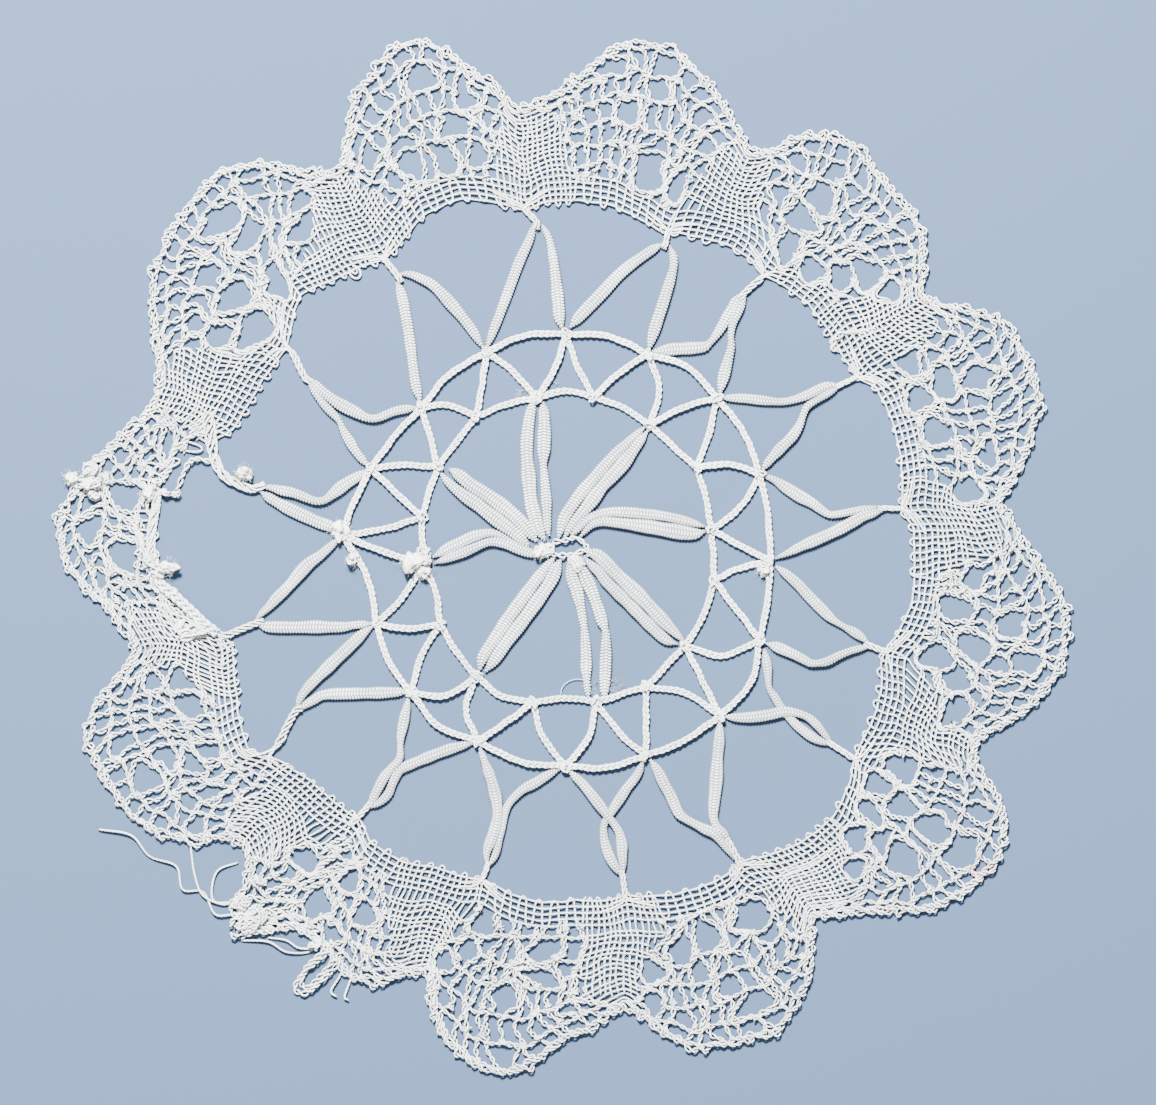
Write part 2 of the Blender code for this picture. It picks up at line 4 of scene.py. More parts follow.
import bpy
import numpy as np
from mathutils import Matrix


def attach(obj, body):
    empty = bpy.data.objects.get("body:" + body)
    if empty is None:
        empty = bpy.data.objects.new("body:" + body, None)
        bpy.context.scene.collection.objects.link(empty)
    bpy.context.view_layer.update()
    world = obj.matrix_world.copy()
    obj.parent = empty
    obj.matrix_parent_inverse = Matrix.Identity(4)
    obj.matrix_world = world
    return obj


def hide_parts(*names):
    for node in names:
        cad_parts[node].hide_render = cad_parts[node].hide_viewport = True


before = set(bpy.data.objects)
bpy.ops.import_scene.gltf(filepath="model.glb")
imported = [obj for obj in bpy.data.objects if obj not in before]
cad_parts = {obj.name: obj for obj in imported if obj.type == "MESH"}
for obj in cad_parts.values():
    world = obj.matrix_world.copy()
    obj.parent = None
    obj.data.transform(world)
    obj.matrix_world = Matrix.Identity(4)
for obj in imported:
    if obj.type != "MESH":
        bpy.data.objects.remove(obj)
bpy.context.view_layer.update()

# Bearings are degrees clockwise from the doily's top (+Y). Sizes are millimetres, and radii run from the
# middle of the star, which lies a little off the origin.
mm = 0.001
starMiddle = (0.351, 0.910)
draws = np.random.default_rng(12)

cotton = {
    # each finish: its colour, the colour of the shade painted into it in the grooves, on steep sides and low
    # down (the soft patches lean to it too), how much of that painted shade the grooves take, and how strong
    # the relief is
    "thread": {"colour": (0.88, 0.88, 0.85), "shade": (0.27, 0.30, 0.32), "grooves": 0.35, "bump": 0.6},
    "leaf": {"colour": (0.88, 0.88, 0.85), "shade": (0.15, 0.17, 0.19), "grooves": 1.15, "bump": 1.0},
    "fluff": {"colour": (0.87, 0.86, 0.80), "shade": (0.56, 0.56, 0.51), "grooves": 0.6, "bump": 0.6},
    "bumpDepth": 0.00008,  # in m
    "roughness": 0.85,
    "sheen": 0.05,
    "plyPitch": 0.5,  # one turn of a thread's plies, in mm along it
    "plies": 2,
    "grain": 0.38,  # from one grain of a woven leaf to the next, in mm
    "columns": 3,  # of grains across a leaf
    "grainShift": 0.3,  # how far a column's grains lie past its neighbour's, as a share of the grain
    "grainWaver": 0.5,  # how far the rows of grains stray, in grains
    "grainPowers": (0.6, 0.35),  # of a grain's height along the leaf and across it; less makes it blunter
    # noise, as (scale, detail): the grains' waver, the patches of shade, the fibres and the fluff
    "waverNoise": (900.0, 1.0),
    "patchNoise": (220.0, 3.0),
    "fibreNoise": (9000.0, 2.0),
    "fluffNoise": (2200.0, 4.0),
    "patchStart": -0.3,  # shade of the patches where their noise is 0
    "patchSpread": 0.7,  # and how much more where it is 1
    "fibres": 0.4,  # their share in the relief
    "sides": 1.3,  # share of the painted shade on a steep side of a thread, which faces away from the light above
    "under": 0.65,  # and the painted shade on the threads that lie lowest, under the ones that cross over them
    "underHeight": 0.00062,  # height over the floor in m where that ends
    # spots, as (place in m, reach in m, strength, colour): a faint pink one on the rim, an orange one in
    # the net
    "spots": [
        ((0.0530, -0.0400, 0.0006), 0.0021, 1.5, (0.80, 0.36, 0.32)),
        ((-0.0172, 0.0516, 0.0005), 0.0006, 1.8, (0.85, 0.36, 0.10)),
    ],
}

thread = {
    "radius": 0.157,
    "endTaper": 0.55,  # share of the radius at a thread's ends
    "step": 0.27,  # between rings of a tube
    "bandStep": 0.38,  # the same, in the long threads of the band
    "sides": 5,
    "bandSides": 4,
    "rest": 0.42,  # height of a thread's middle over the floor
    "wander": 0.09,  # how far the footing's threads stray from their place
    "strayLengths": (2.2, 7.0),  # of the waves in which a thread strays, in mm
    "warpWaves": 8,  # the waves that cross the whole cloth
    "warpLengths": (3.0, 9.0),
    "slack": 0.25,  # how much wider a twisted pair is than its threads need
    "slackDrift": 0.45,
    "turnDrift": 0.9,  # how far its turning runs ahead and back, in radians
}

tangles = {
    "shares": (0.62, 0.38),  # of the slow and the quick waves that a tangle's thread follows
    "slow": (0.75, 1.25),  # waves of each kind to a turn
    "quick": (1.5, 2.2),
}


# a point at a bearing b and a radius r: x = r sin b, y = r cos b, from the star's middle
def place(bearing, radius):
    turn = np.radians(bearing)
    return np.stack([radius * np.sin(turn) + starMiddle[0], radius * np.cos(turn) + starMiddle[1]], axis=-1)


# Catmull-Rom through the knots: b + ((c-a)t + (2a-5b+4c-d)t2 + (3b-a-3c+d)t3) / 2 between b and c
def curveThrough(knots):
    knots = np.asarray(knots, float)
    padded = np.vstack([2 * knots[0] - knots[1], knots, 2 * knots[-1] - knots[-2]])
    a, b, c, d = (padded[i : i + len(knots) - 1, None] for i in range(4))
    t = np.linspace(0, 1, 12, endpoint=False)[None, :, None]
    bend = (2 * a - 5 * b + 4 * c - d) * t**2 + (3 * b - a - 3 * c + d) * t**3
    return np.vstack([(b + ((c - a) * t + bend) / 2).reshape(-1, knots.shape[1]), knots[-1:]])


# A hand-made unevenness of the cloth: each place moves by the sum of sine waves that cross it in drawn
# directions, by no more than about twice `reach`.
warpWaves = [
    (2 * math.pi / draws.uniform(*thread["warpLengths"]), draws.uniform(0, math.pi),
     draws.uniform(0, 2 * math.pi, 2))
    for _ in range(thread["warpWaves"])
]


def uneven(points, reach):
    moved = points.copy()
    for wave, turn, phases in warpWaves:
        run = wave * (points[:, 0] * math.cos(turn) + points[:, 1] * math.sin(turn))
        moved += np.column_stack([np.sin(run + phases[0]), np.sin(run + phases[1])]) * (reach / 4)[:, None]
    return moved


# the length run along a line up to each of its points
def lengthRun(line):
    return np.concatenate([[0], np.cumsum(np.linalg.norm(np.diff(line[:, :2], axis=0), axis=1))])


# the line read again at even steps; columns after x and y go along with them
def evenSteps(line, step):
    run = lengthRun(line)
    wanted = np.linspace(0, run[-1], max(int(round(run[-1] / step)), 3) + 1)
    return np.column_stack([np.interp(wanted, run, column) for column in line.T])


# the even line of a thread through knots, each a bearing and a radius
def routeLine(knots):
    return evenSteps(curveThrough([place(*knot) for knot in knots]), thread["step"])


# x and y turned clockwise by a bearing
def turned(x, y, bearing):
    cosine, sine = math.cos(math.radians(bearing)), math.sin(math.radians(bearing))
    return np.stack([x * cosine + y * sine, y * cosine - x * sine], axis=-1)


# a running mean over the neighbours on both sides, with the ends held
def softened(line, reach):
    padded = np.vstack([np.repeat(line[:1], reach, axis=0), line, np.repeat(line[-1:], reach, axis=0)])
    total = np.cumsum(np.vstack([np.zeros((1, line.shape[1])), padded]), axis=0)
    mean = (total[2 * reach + 1 :] - total[: -2 * reach - 1]) / (2 * reach + 1)
    mean[0], mean[-1] = line[0], line[-1]
    return mean


# unit vectors a quarter turn to the left of a flat line
def leftOf(line):
    along = np.gradient(line[:, :2], axis=0)
    left = np.column_stack([-along[:, 1], along[:, 0]])
    return left / np.maximum(np.linalg.norm(left, axis=1), 1e-9)[:, None]


# a slow stray to the side: three sines of the run with drawn phases, in sum no more than `reach`
def stray(run, reach):
    waves = draws.uniform(*thread["strayLengths"], 3)
    phases = draws.uniform(0, 2 * math.pi, 3)
    return reach / 3 * np.sin(2 * math.pi * run[:, None] / waves + phases).sum(axis=1)


# Two threads twisted about a line: thread i stands off it at the angle 2 pi (run / pitch + i / 2). The
# pitch and the distance across both drift, as in hand work: across = off (1 + slack) cos(angle) and
# up = off sin(angle).
def twisted(line, height, pitch, off, radius):
    run, left = lengthRun(line), leftOf(line)
    start = draws.uniform(0, 2 * math.pi)
    slack = thread["slack"] + stray(run, thread["slackDrift"])
    drift = stray(run, thread["turnDrift"])
    strands = []
    for i in range(2):
        angle = start + 2 * math.pi * (run / pitch + i / 2) + drift
        flat = line[:, :2] + left * (off * (1 + slack) * np.cos(angle))[:, None]
        strands.append((np.column_stack([flat, height + off * np.sin(angle)]), radius))
    return strands


# A flat plait of four, a quarter turn apart in p: across = half sin p, up = rise cos 3p. So a thread that
# moves right is under, over and under the others, and one that moves left is over, under and over.
def braided(line, height, look):
    run, left = lengthRun(line), leftOf(line)
    start = draws.uniform(0, 2 * math.pi)
    half = look["half"] * (1 + stray(run, 0.12))
    strands = []
    for i in range(4):
        p = start + 2 * math.pi * (run / look["pitch"] + i / 4)
        flat = line[:, :2] + left * (half * np.sin(p))[:, None]
        strands.append((np.column_stack([flat, height + look["rise"] * np.cos(3 * p)]), look["radius"]))
    return strands


# A tangle: a thread runs in loose loops inside an oval ball. Each of x, y and z is the first share times
# sin(a f + p) plus the second times sin(a g + q) of the turn a, with drawn f, g, p and q, so no two loops lie
# alike.
def tangle(middle, width, height, crest, turns, bearing, radius, perTurn=12):
    a = 2 * math.pi * turns * np.linspace(0, 1, max(int(turns * perTurn), 14))
    slow, quick = draws.uniform(*tangles["slow"], 3), draws.uniform(*tangles["quick"], 3)
    first, second = draws.uniform(0, 2 * math.pi, 3), draws.uniform(0, 2 * math.pi, 3)
    more, less = tangles["shares"]
    loops = more * np.sin(np.outer(a, slow) + first) + less * np.sin(np.outer(a, quick) + second)
    wide, tall = loops[:, 0] * (width / 2 - radius * 0.6), loops[:, 1] * (height / 2 - radius * 0.6)
    half = max(crest / 2 - radius, 0.05)
    lifted = np.maximum(half + radius + loops[:, 2] * half, radius)
    return np.column_stack([turned(wide, tall, bearing) + middle, lifted]), radius


# the faces between each ring and the next; `first` holds the number of each ring's first point
def facesBetween(first, around):
    j = np.arange(around)
    k = (j + 1) % around
    low = first[:, None]
    return np.stack([low + j, low + around + j, low + around + k, low + k], axis=2).reshape(-1, 4)


# the run and the turn at the corners of those faces; `low` and `high` are the runs at each two rings
def cornerMap(low, high, around):
    j = np.arange(around)
    runs = np.stack([low, high, high, low], axis=1)[:, None].repeat(around, axis=1)
    turns = np.stack([j, j, j + 1, j + 1], axis=1)[None].repeat(len(low), axis=0) / around
    return np.stack([runs, turns], axis=3).reshape(-1, 2)


# Tubes round all the given lines in one mesh. Ring point = line point + radius (cos a side + sin a up), with
# side across the line and level, and up square to both. Each thread is a row of the bake map.
def threadPiece(name, strands, material, sides=None):
    sides = sides or thread["sides"]
    counts = np.array([len(line) for line, _ in strands])
    points = np.vstack([line for line, _ in strands])
    radii = np.concatenate([np.full(len(line), size) for line, size in strands])
    ends = np.cumsum(counts)
    starts = ends - counts
    row = np.repeat(np.arange(len(counts)), counts)
    index = np.arange(len(points))
    before, after = np.maximum(index - 1, starts[row]), np.minimum(index + 1, ends[row] - 1)
    along = points[after] - points[before]
    along /= np.maximum(np.linalg.norm(along, axis=1), 1e-9)[:, None]
    side = np.column_stack([along[:, 1], -along[:, 0], np.zeros(len(along))])
    side /= np.maximum(np.linalg.norm(side, axis=1), 1e-9)[:, None]
    up = np.cross(side, along)
    radii[starts] *= thread["endTaper"]
    radii[ends - 1] *= thread["endTaper"]
    a = 2 * math.pi * np.arange(sides) / sides
    ring = np.cos(a)[None, :, None] * side[:, None] + np.sin(a)[None, :, None] * up[:, None]
    rings = points[:, None] + radii[:, None, None] * ring
    low = index[index != ends[row] - 1]
    quads = facesBetween(low * sides, sides)
    j = np.arange(sides)
    caps = np.vstack([starts[:, None] * sides + j, (ends - 1)[:, None] * sides + j[::-1]])
    step = np.linalg.norm(points - points[np.maximum(index - 1, 0)], axis=1)
    step[starts] = 0
    run = np.cumsum(step)
    run -= run[starts][row]
    capRun = np.repeat(np.concatenate([run[starts], run[ends - 1]]), sides)
    capTurn = np.concatenate([np.tile(j / sides, len(counts)), np.tile(j[::-1] / sides, len(counts))])
    lineMap = np.vstack([cornerMap(run[low], run[low + 1], sides), np.column_stack([capRun, capTurn])])
    capRow = np.repeat(np.tile(np.arange(len(counts)), 2), sides)
    rows = np.concatenate([np.repeat(row[low], 4 * sides), capRow])
    bakeMap = np.column_stack([
        0.002 + 0.996 * lineMap[:, 0] / run.max(), (rows + 0.1 + 0.8 * lineMap[:, 1]) / len(counts)])
    corners = np.concatenate([quads.reshape(-1), caps.reshape(-1)])
    sizes = np.concatenate([np.full(len(quads), 4), np.full(len(caps), sides)])
    maps = {"OFBake": bakeMap, "threadMap": lineMap}
    return meshPiece(name, rings.reshape(-1, 3), corners, sizes, maps, material)


# puts whole arrays into a new mesh object at the origin, smooth, with its maps and its material
def meshPiece(name, points, corners, sizes, maps, material):
    mesh = bpy.data.meshes.new(name)
    mesh.vertices.add(len(points))
    mesh.vertices.foreach_set("co", (points * mm).astype(np.float32).reshape(-1))
    mesh.loops.add(len(corners))
    mesh.loops.foreach_set("vertex_index", corners.astype(np.int32))
    mesh.polygons.add(len(sizes))
    mesh.polygons.foreach_set("loop_start", (np.cumsum(sizes) - sizes).astype(np.int32))
    mesh.update(calc_edges=True)
    mesh.validate()
    for mapName, values in maps.items():
        layer = mesh.uv_layers.new(name=mapName)
        layer.data.foreach_set("uv", values.astype(np.float32).reshape(-1))
    mesh.shade_smooth()
    piece = bpy.data.objects.new(name, mesh)
    bpy.context.scene.collection.objects.link(piece)
    mesh.materials.append(material)
    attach(piece, "root")
    print(name, "triangles:", int((sizes - 2).sum()))
    return piece


# one math node; the values may be numbers or sockets
def maths(tree, operation, *values):
    node = tree.nodes.new("ShaderNodeMath")
    node.operation = operation
    for socket, value in zip(node.inputs, values):
        if isinstance(value, (int, float)):
            socket.default_value = value
        else:
            tree.links.new(value, socket)
    return node.outputs[0]


# noise over the object's own metres
def noise(tree, settings):
    node = tree.nodes.new("ShaderNodeTexNoise")
    node.inputs["Scale"].default_value, node.inputs["Detail"].default_value = settings
    tree.links.new(tree.nodes.new("ShaderNodeTexCoord").outputs["Object"], node.inputs["Vector"])
    return node.outputs["Fac"]


# one axis of a vector
def axisOf(tree, vector, axis):
    node = tree.nodes.new("ShaderNodeSeparateXYZ")
    tree.links.new(vector, node.inputs["Vector"])
    return node.outputs[axis]


# a socket of colour that runs from the first, a colour or a socket, to the second colour by a share
def mixed(tree, share, first, second):
    node = tree.nodes.new("ShaderNodeMix")
    node.data_type = "RGBA"
    tree.links.new(share, node.inputs["Factor"])
    if isinstance(first, tuple):
        node.inputs["A"].default_value = (*first, 1.0)
    else:
        tree.links.new(first, node.inputs["A"])
    node.inputs["B"].default_value = (*second, 1.0)
    return node.outputs["Result"]


# The plies of a thread: a sine of the run over their pitch plus the turn round the thread times their number.
def plyHeight(tree, run, turn):
    along = maths(tree, "MULTIPLY", run, 2 * math.pi / cotton["plyPitch"])
    around = maths(tree, "MULTIPLY", turn, 2 * math.pi * cotton["plies"])
    return maths(tree, "MULTIPLY_ADD", maths(tree, "SINE", maths(tree, "ADD", along, around)), 0.5, 0.5)


# The grains of a leaf: x is the place across, cos of the turn, cut into columns. A grain's height is
# 0.5 + 0.5 cos(2 pi (run / grain + shift + waver)) times the sine of its own width, each to its own power.
def grainHeight(tree, run, turn):
    across = maths(tree, "COSINE", maths(tree, "MULTIPLY", turn, 2 * math.pi))
    columns = maths(tree, "MULTIPLY_ADD", across, cotton["columns"] / 2.002, cotton["columns"] / 2)
    shift = maths(tree, "MODULO", maths(tree, "FLOOR", columns), 2.0)
    own = maths(tree, "SINE", maths(tree, "MULTIPLY", maths(tree, "FRACT", columns), math.pi))
    beat = maths(tree, "MULTIPLY", run, 1 / cotton["grain"])
    beat = maths(tree, "MULTIPLY_ADD", shift, cotton["grainShift"], beat)
    beat = maths(tree, "MULTIPLY_ADD", noise(tree, cotton["waverNoise"]), cotton["grainWaver"], beat)
    wave = maths(tree, "COSINE", maths(tree, "MULTIPLY", beat, 2 * math.pi))
    row = maths(tree, "MULTIPLY_ADD", wave, 0.5, 0.5)
    alongPower, acrossPower = cotton["grainPowers"]
    row, own = maths(tree, "POWER", row, alongPower), maths(tree, "POWER", own, acrossPower)
    return maths(tree, "MULTIPLY", row, own)


# Fluff has no order: its height is plain noise.
def fluffHeight(tree, run, turn):
    return noise(tree, cotton["fluffNoise"])


# Cotton: white on the raised places, with shade painted into the colour in the grooves, on steep sides and
# low down, soft patches, and fine fibres in the relief. Each spot fades from its place over its reach.
def cottonFinish(name, relief, finish):
    material = bpy.data.materials.new(name)
    material.use_nodes = True
    tree = material.node_tree
    shader = tree.nodes["Principled BSDF"]
    shader.inputs["Roughness"].default_value = cotton["roughness"]
    shader.inputs["Sheen Weight"].default_value = cotton["sheen"]
    uv = tree.nodes.new("ShaderNodeUVMap")
    uv.uv_map = "threadMap"
    height = relief(tree, axisOf(tree, uv.outputs["UV"], "X"), axisOf(tree, uv.outputs["UV"], "Y"))
    spot = tree.nodes.new("ShaderNodeTexCoord").outputs["Object"]
    normal = tree.nodes.new("ShaderNodeNewGeometry").outputs["Normal"]
    patches = noise(tree, cotton["patchNoise"])
    # painted shade: the grooves, the steep sides and the lowest threads mix the colour towards the shade
    # colour; the patches add tone at random
    fade = -cotton["under"] / cotton["underHeight"]
    under = maths(tree, "MULTIPLY_ADD", axisOf(tree, spot, "Z"), fade, cotton["under"])
    paintedShadeAndPatches = maths(tree, "MULTIPLY", maths(tree, "SUBTRACT", 1.0, height), finish["grooves"])
    for more in (
        maths(tree, "MULTIPLY_ADD", patches, cotton["patchSpread"], cotton["patchStart"]),
        maths(tree, "MULTIPLY_ADD", axisOf(tree, normal, "Z"), -cotton["sides"], cotton["sides"]),
        maths(tree, "MAXIMUM", under, 0.0),
    ):
        paintedShadeAndPatches = maths(tree, "ADD", paintedShadeAndPatches, more)
    painted = mixed(tree, maths(tree, "MAXIMUM", paintedShadeAndPatches, 0.0), finish["colour"], finish["shade"])
    for middle, reach, amount, stain in cotton["spots"]:
        away = tree.nodes.new("ShaderNodeVectorMath")
        away.operation = "DISTANCE"
        tree.links.new(spot, away.inputs[0])
        away.inputs[1].default_value = middle
        near = maths(tree, "MULTIPLY_ADD", away.outputs["Value"], -1 / reach, 1.0)
        near = maths(tree, "MULTIPLY", maths(tree, "MAXIMUM", near, 0.0), patches)
        painted = mixed(tree, maths(tree, "MULTIPLY", near, amount), painted, stain)
    tree.links.new(painted, shader.inputs["Base Color"])
    bump = tree.nodes.new("ShaderNodeBump")
    bump.inputs["Strength"].default_value = finish["bump"]
    bump.inputs["Distance"].default_value = cotton["bumpDepth"]
    fibres = noise(tree, cotton["fibreNoise"])
    tree.links.new(maths(tree, "MULTIPLY_ADD", fibres, cotton["fibres"], height), bump.inputs["Height"])
    tree.links.new(bump.outputs["Normal"], shader.inputs["Normal"])
    return material


threadCotton = cottonFinish("bleached_cotton_thread", plyHeight, cotton["thread"])
leafCotton = cottonFinish("bleached_cotton_leaf", grainHeight, cotton["leaf"])
fluffCotton = cottonFinish("cotton_fluff", fluffHeight, cotton["fluff"])

band = {
    "edgeSoftening": 9,  # in tenths of a degree
    "footShares": (0.0, 0.12, 0.35, 0.6, 0.85),
    # inner edge, a row from each stalk to the next: (stalk bearing, radius at each share of the way)
    "foot": [
        (17.5, 42.0, 42.5, 43.0, 43.7, 43.5),
        (35.7, 42.8, 43.4, 43.7, 43.3, 42.7),
        (59.6, 42.9, 44.3, 44.5, 44.1, 43.4),
        (83.2, 42.9, 44.1, 44.2, 44.5, 43.5),
        (107.8, 42.4, 42.6, 43.8, 44.5, 44.9),
        (126.0, 45.3, 46.6, 48.0, 47.7, 46.4),
        (150.6, 45.3, 46.0, 46.1, 45.8, 45.1),
        (170.0, 44.5, 44.8, 44.4, 44.8, 44.0),
        (193.5, 43.1, 43.4, 43.4, 44.6, 44.5),
        (217.2, 42.9, 43.2, 43.3, 43.5, 44.6),
        (235.0, 45.8, 47.5, 46.4, 45.0, 43.8),
        (256.5, 44.7, 47.2, 50.7, 51.9, 52.4),
        (281.5, 51.6, 48.6, 44.5, 43.9, 43.7),
        (305.6, 43.6, 44.5, 46.6, 44.9, 43.9),
        (328.4, 43.2, 43.9, 45.9, 46.3, 44.3),
        (353.6, 43.1, 44.0, 44.1, 43.9, 42.6),
    ],
    "rimShares": (0.0, 0.08, 0.18, 0.28, 0.38, 0.5, 0.62, 0.72, 0.82, 0.92),
    # outer edge, a row for each scallop: (valley bearing, radius at each share of the way)
    "rim": [
        (25.0, 56.0, 57.3, 61.4, 63.0, 63.6, 62.5, 62.0, 61.9, 60.6, 58.1),
        (54.5, 56.0, 57.2, 60.5, 63.2, 63.8, 64.1, 63.6, 61.6, 60.1, 57.6),
        (84.0, 55.9, 57.1, 59.1, 61.5, 64.1, 65.0, 65.2, 64.0, 62.4, 59.8),
        (115.0, 57.8, 58.9, 65.1, 67.5, 68.1, 67.4, 65.8, 62.8, 60.1, 58.2),
        (146.0, 56.5, 59.7, 63.5, 65.4, 67.4, 66.9, 66.5, 66.1, 64.0, 60.6),
        (172.5, 58.7, 59.6, 61.6, 62.3, 64.5, 67.2, 67.4, 66.4, 64.8, 61.4),
        (198.0, 56.6, 57.9, 60.2, 61.4, 60.2, 59.1, 59.6, 62.4, 63.3, 57.3),
        (227.0, 56.0, 56.3, 60.7, 63.6, 65.2, 65.6, 65.9, 66.0, 63.9, 59.4),
        (256.5, 56.3, 57.0, 58.7, 61.9, 64.2, 64.9, 63.4, 61.5, 59.0, 56.9),
        (289.5, 56.0, 56.2, 58.3, 61.3, 63.6, 64.8, 65.2, 65.5, 63.1, 58.5),
        (328.5, 56.3, 57.5, 61.0, 64.3, 65.4, 67.8, 67.7, 65.4, 62.1, 59.8),
        (353.6, 56.4, 57.1, 58.5, 61.0, 64.4, 65.6, 65.0, 62.9, 60.5, 57.9),
    ],
    # closely woven blocks inside the valleys, in the order of the rim's rows: the left and the right
    # bearing at each of the radii, and the radius of the block's top
    "blockRadii": (46.0, 50.0, 52.5, 55.0),
    "blockReach": (42, 60),  # radii between which a block's sides are read
    "blockRamp": 0.9,  # degrees over which the weave of a block begins
    "topRun": 0.9,  # mm over a block's top in which its sides run to the valley
    "valleyHalf": 0.9,  # degrees from the valley to those sides there
    "blocks": [
        (18.5, 33.5, 20.0, 29.5, 20.8, 29.0, 21.5, 28.3, 55.4),
        (48.0, 60.0, 49.8, 60.0, 50.8, 60.0, 53.0, 59.3, 55.5),
        (79.0, 94.0, 81.3, 92.3, 83.7, 91.5, 84.5, 90.0, 55.4),
        (108.0, 125.0, 110.8, 122.0, 114.3, 120.8, 115.0, 119.5, 57.2),
        (136.0, 152.5, 135.5, 151.0, 136.8, 149.7, 139.0, 148.6, 57.0),
        (166.0, 176.5, 165.8, 176.7, 168.5, 178.2, 170.5, 177.6, 57.3),
        (194.5, 207.5, 196.0, 206.5, 197.3, 205.3, 198.3, 203.8, 56.2),
        (218.5, 232.0, 220.3, 231.3, 222.8, 232.0, 224.5, 230.5, 55.6),
        (246.0, 256.0, 249.5, 260.6, 254.3, 261.5, 255.3, 262.0, 55.6),
        (286.0, 303.0, 288.0, 300.5, 289.0, 299.0, 290.0, 297.5, 55.6),
        (317.0, 334.0, 318.5, 333.0, 321.8, 331.0, 324.5, 330.0, 55.7),
        (349.5, 361.0, 350.0, 360.0, 351.0, 359.5, 352.0, 358.5, 55.7),
    ],
}


# values at some bearings, read straight between them all the way round and then softened
def allRoundValues(bearings, values, reach):
    kernel = np.hanning(2 * reach + 3)[1:-1]
    line = np.interp(allRound, bearings, values, period=360)
    ring = np.concatenate([line[-reach:], line, line[:reach]])
    return np.convolve(ring, kernel / kernel.sum(), mode="valid")


# an edge's radius all round, from its table
def edgeFrom(rows, shares):
    bearings, radii = [], []
    for row, after in zip(rows, rows[1:] + rows[:1]):
        span = (after[0] - row[0]) % 360
        bearings += [(row[0] + share * span) % 360 for share in shares]
        radii += row[1:]
    return allRoundValues(bearings, radii, band["edgeSoftening"])


allRound = np.arange(0, 360, 0.1)
footEdge = edgeFrom(band["foot"], band["footShares"])
rimEdge = edgeFrom(band["rim"], band["rimShares"])
valleys = [row[0] for row in band["rim"]]
stalkBearings = [row[0] for row in band["foot"]]


def footAt(bearing):
    return np.interp(bearing, allRound, footEdge, period=360)


def rimAt(bearing):
    return np.interp(bearing, allRound, rimEdge, period=360)


# radius at a share of the band's depth: foot + share (rim - foot)
def depthAt(bearing, share):
    return footAt(bearing) + share * (rimAt(bearing) - footAt(bearing))


# the bearing of a block's left (0) or right (1) side at a radius
def sideAt(block, side, radius):
    return np.interp(radius, band["blockRadii"], band["blocks"][block][side:8:2])


# A block's threads spread evenly between its sides up to its shoulder. Over that they keep their
# distance, lean by half as much as the block's middle, and end at its side. So bearing = left +
# (right - left) share + lean.
def blockLines(block, radius):
    low = np.minimum(radius, band["blockRadii"][1])
    left, right = sideAt(block, 0, low), sideAt(block, 1, low)
    lean = (sideAt(block, 0, radius) + sideAt(block, 1, radius) - left - right) / 4
    return left + lean, right - left


# A block's side again, as shares of the depth and their bearings. Over the block's top it runs along to
# the valley.
def sideByShare(block, side):
    top = band["blocks"][block][8]
    valley = valleys[block] + (side * 2 - 1) * band["valleyHalf"]
    radius = np.linspace(*band["blockReach"], 240)
    over = np.clip((radius - top) / band["topRun"], 0, 1)
    bearing = sideAt(block, side, radius) * (1 - over) + valley * over
    share = (radius - footAt(bearing)) / (rimAt(bearing) - footAt(bearing))
    return np.maximum.accumulate(share), bearing


blockSides = [[sideByShare(block, side) for side in (0, 1)] for block in range(12)]


def blockSide(block, side, share):
    shares, bearings = blockSides[block][side]
    return np.interp(share, shares, bearings)


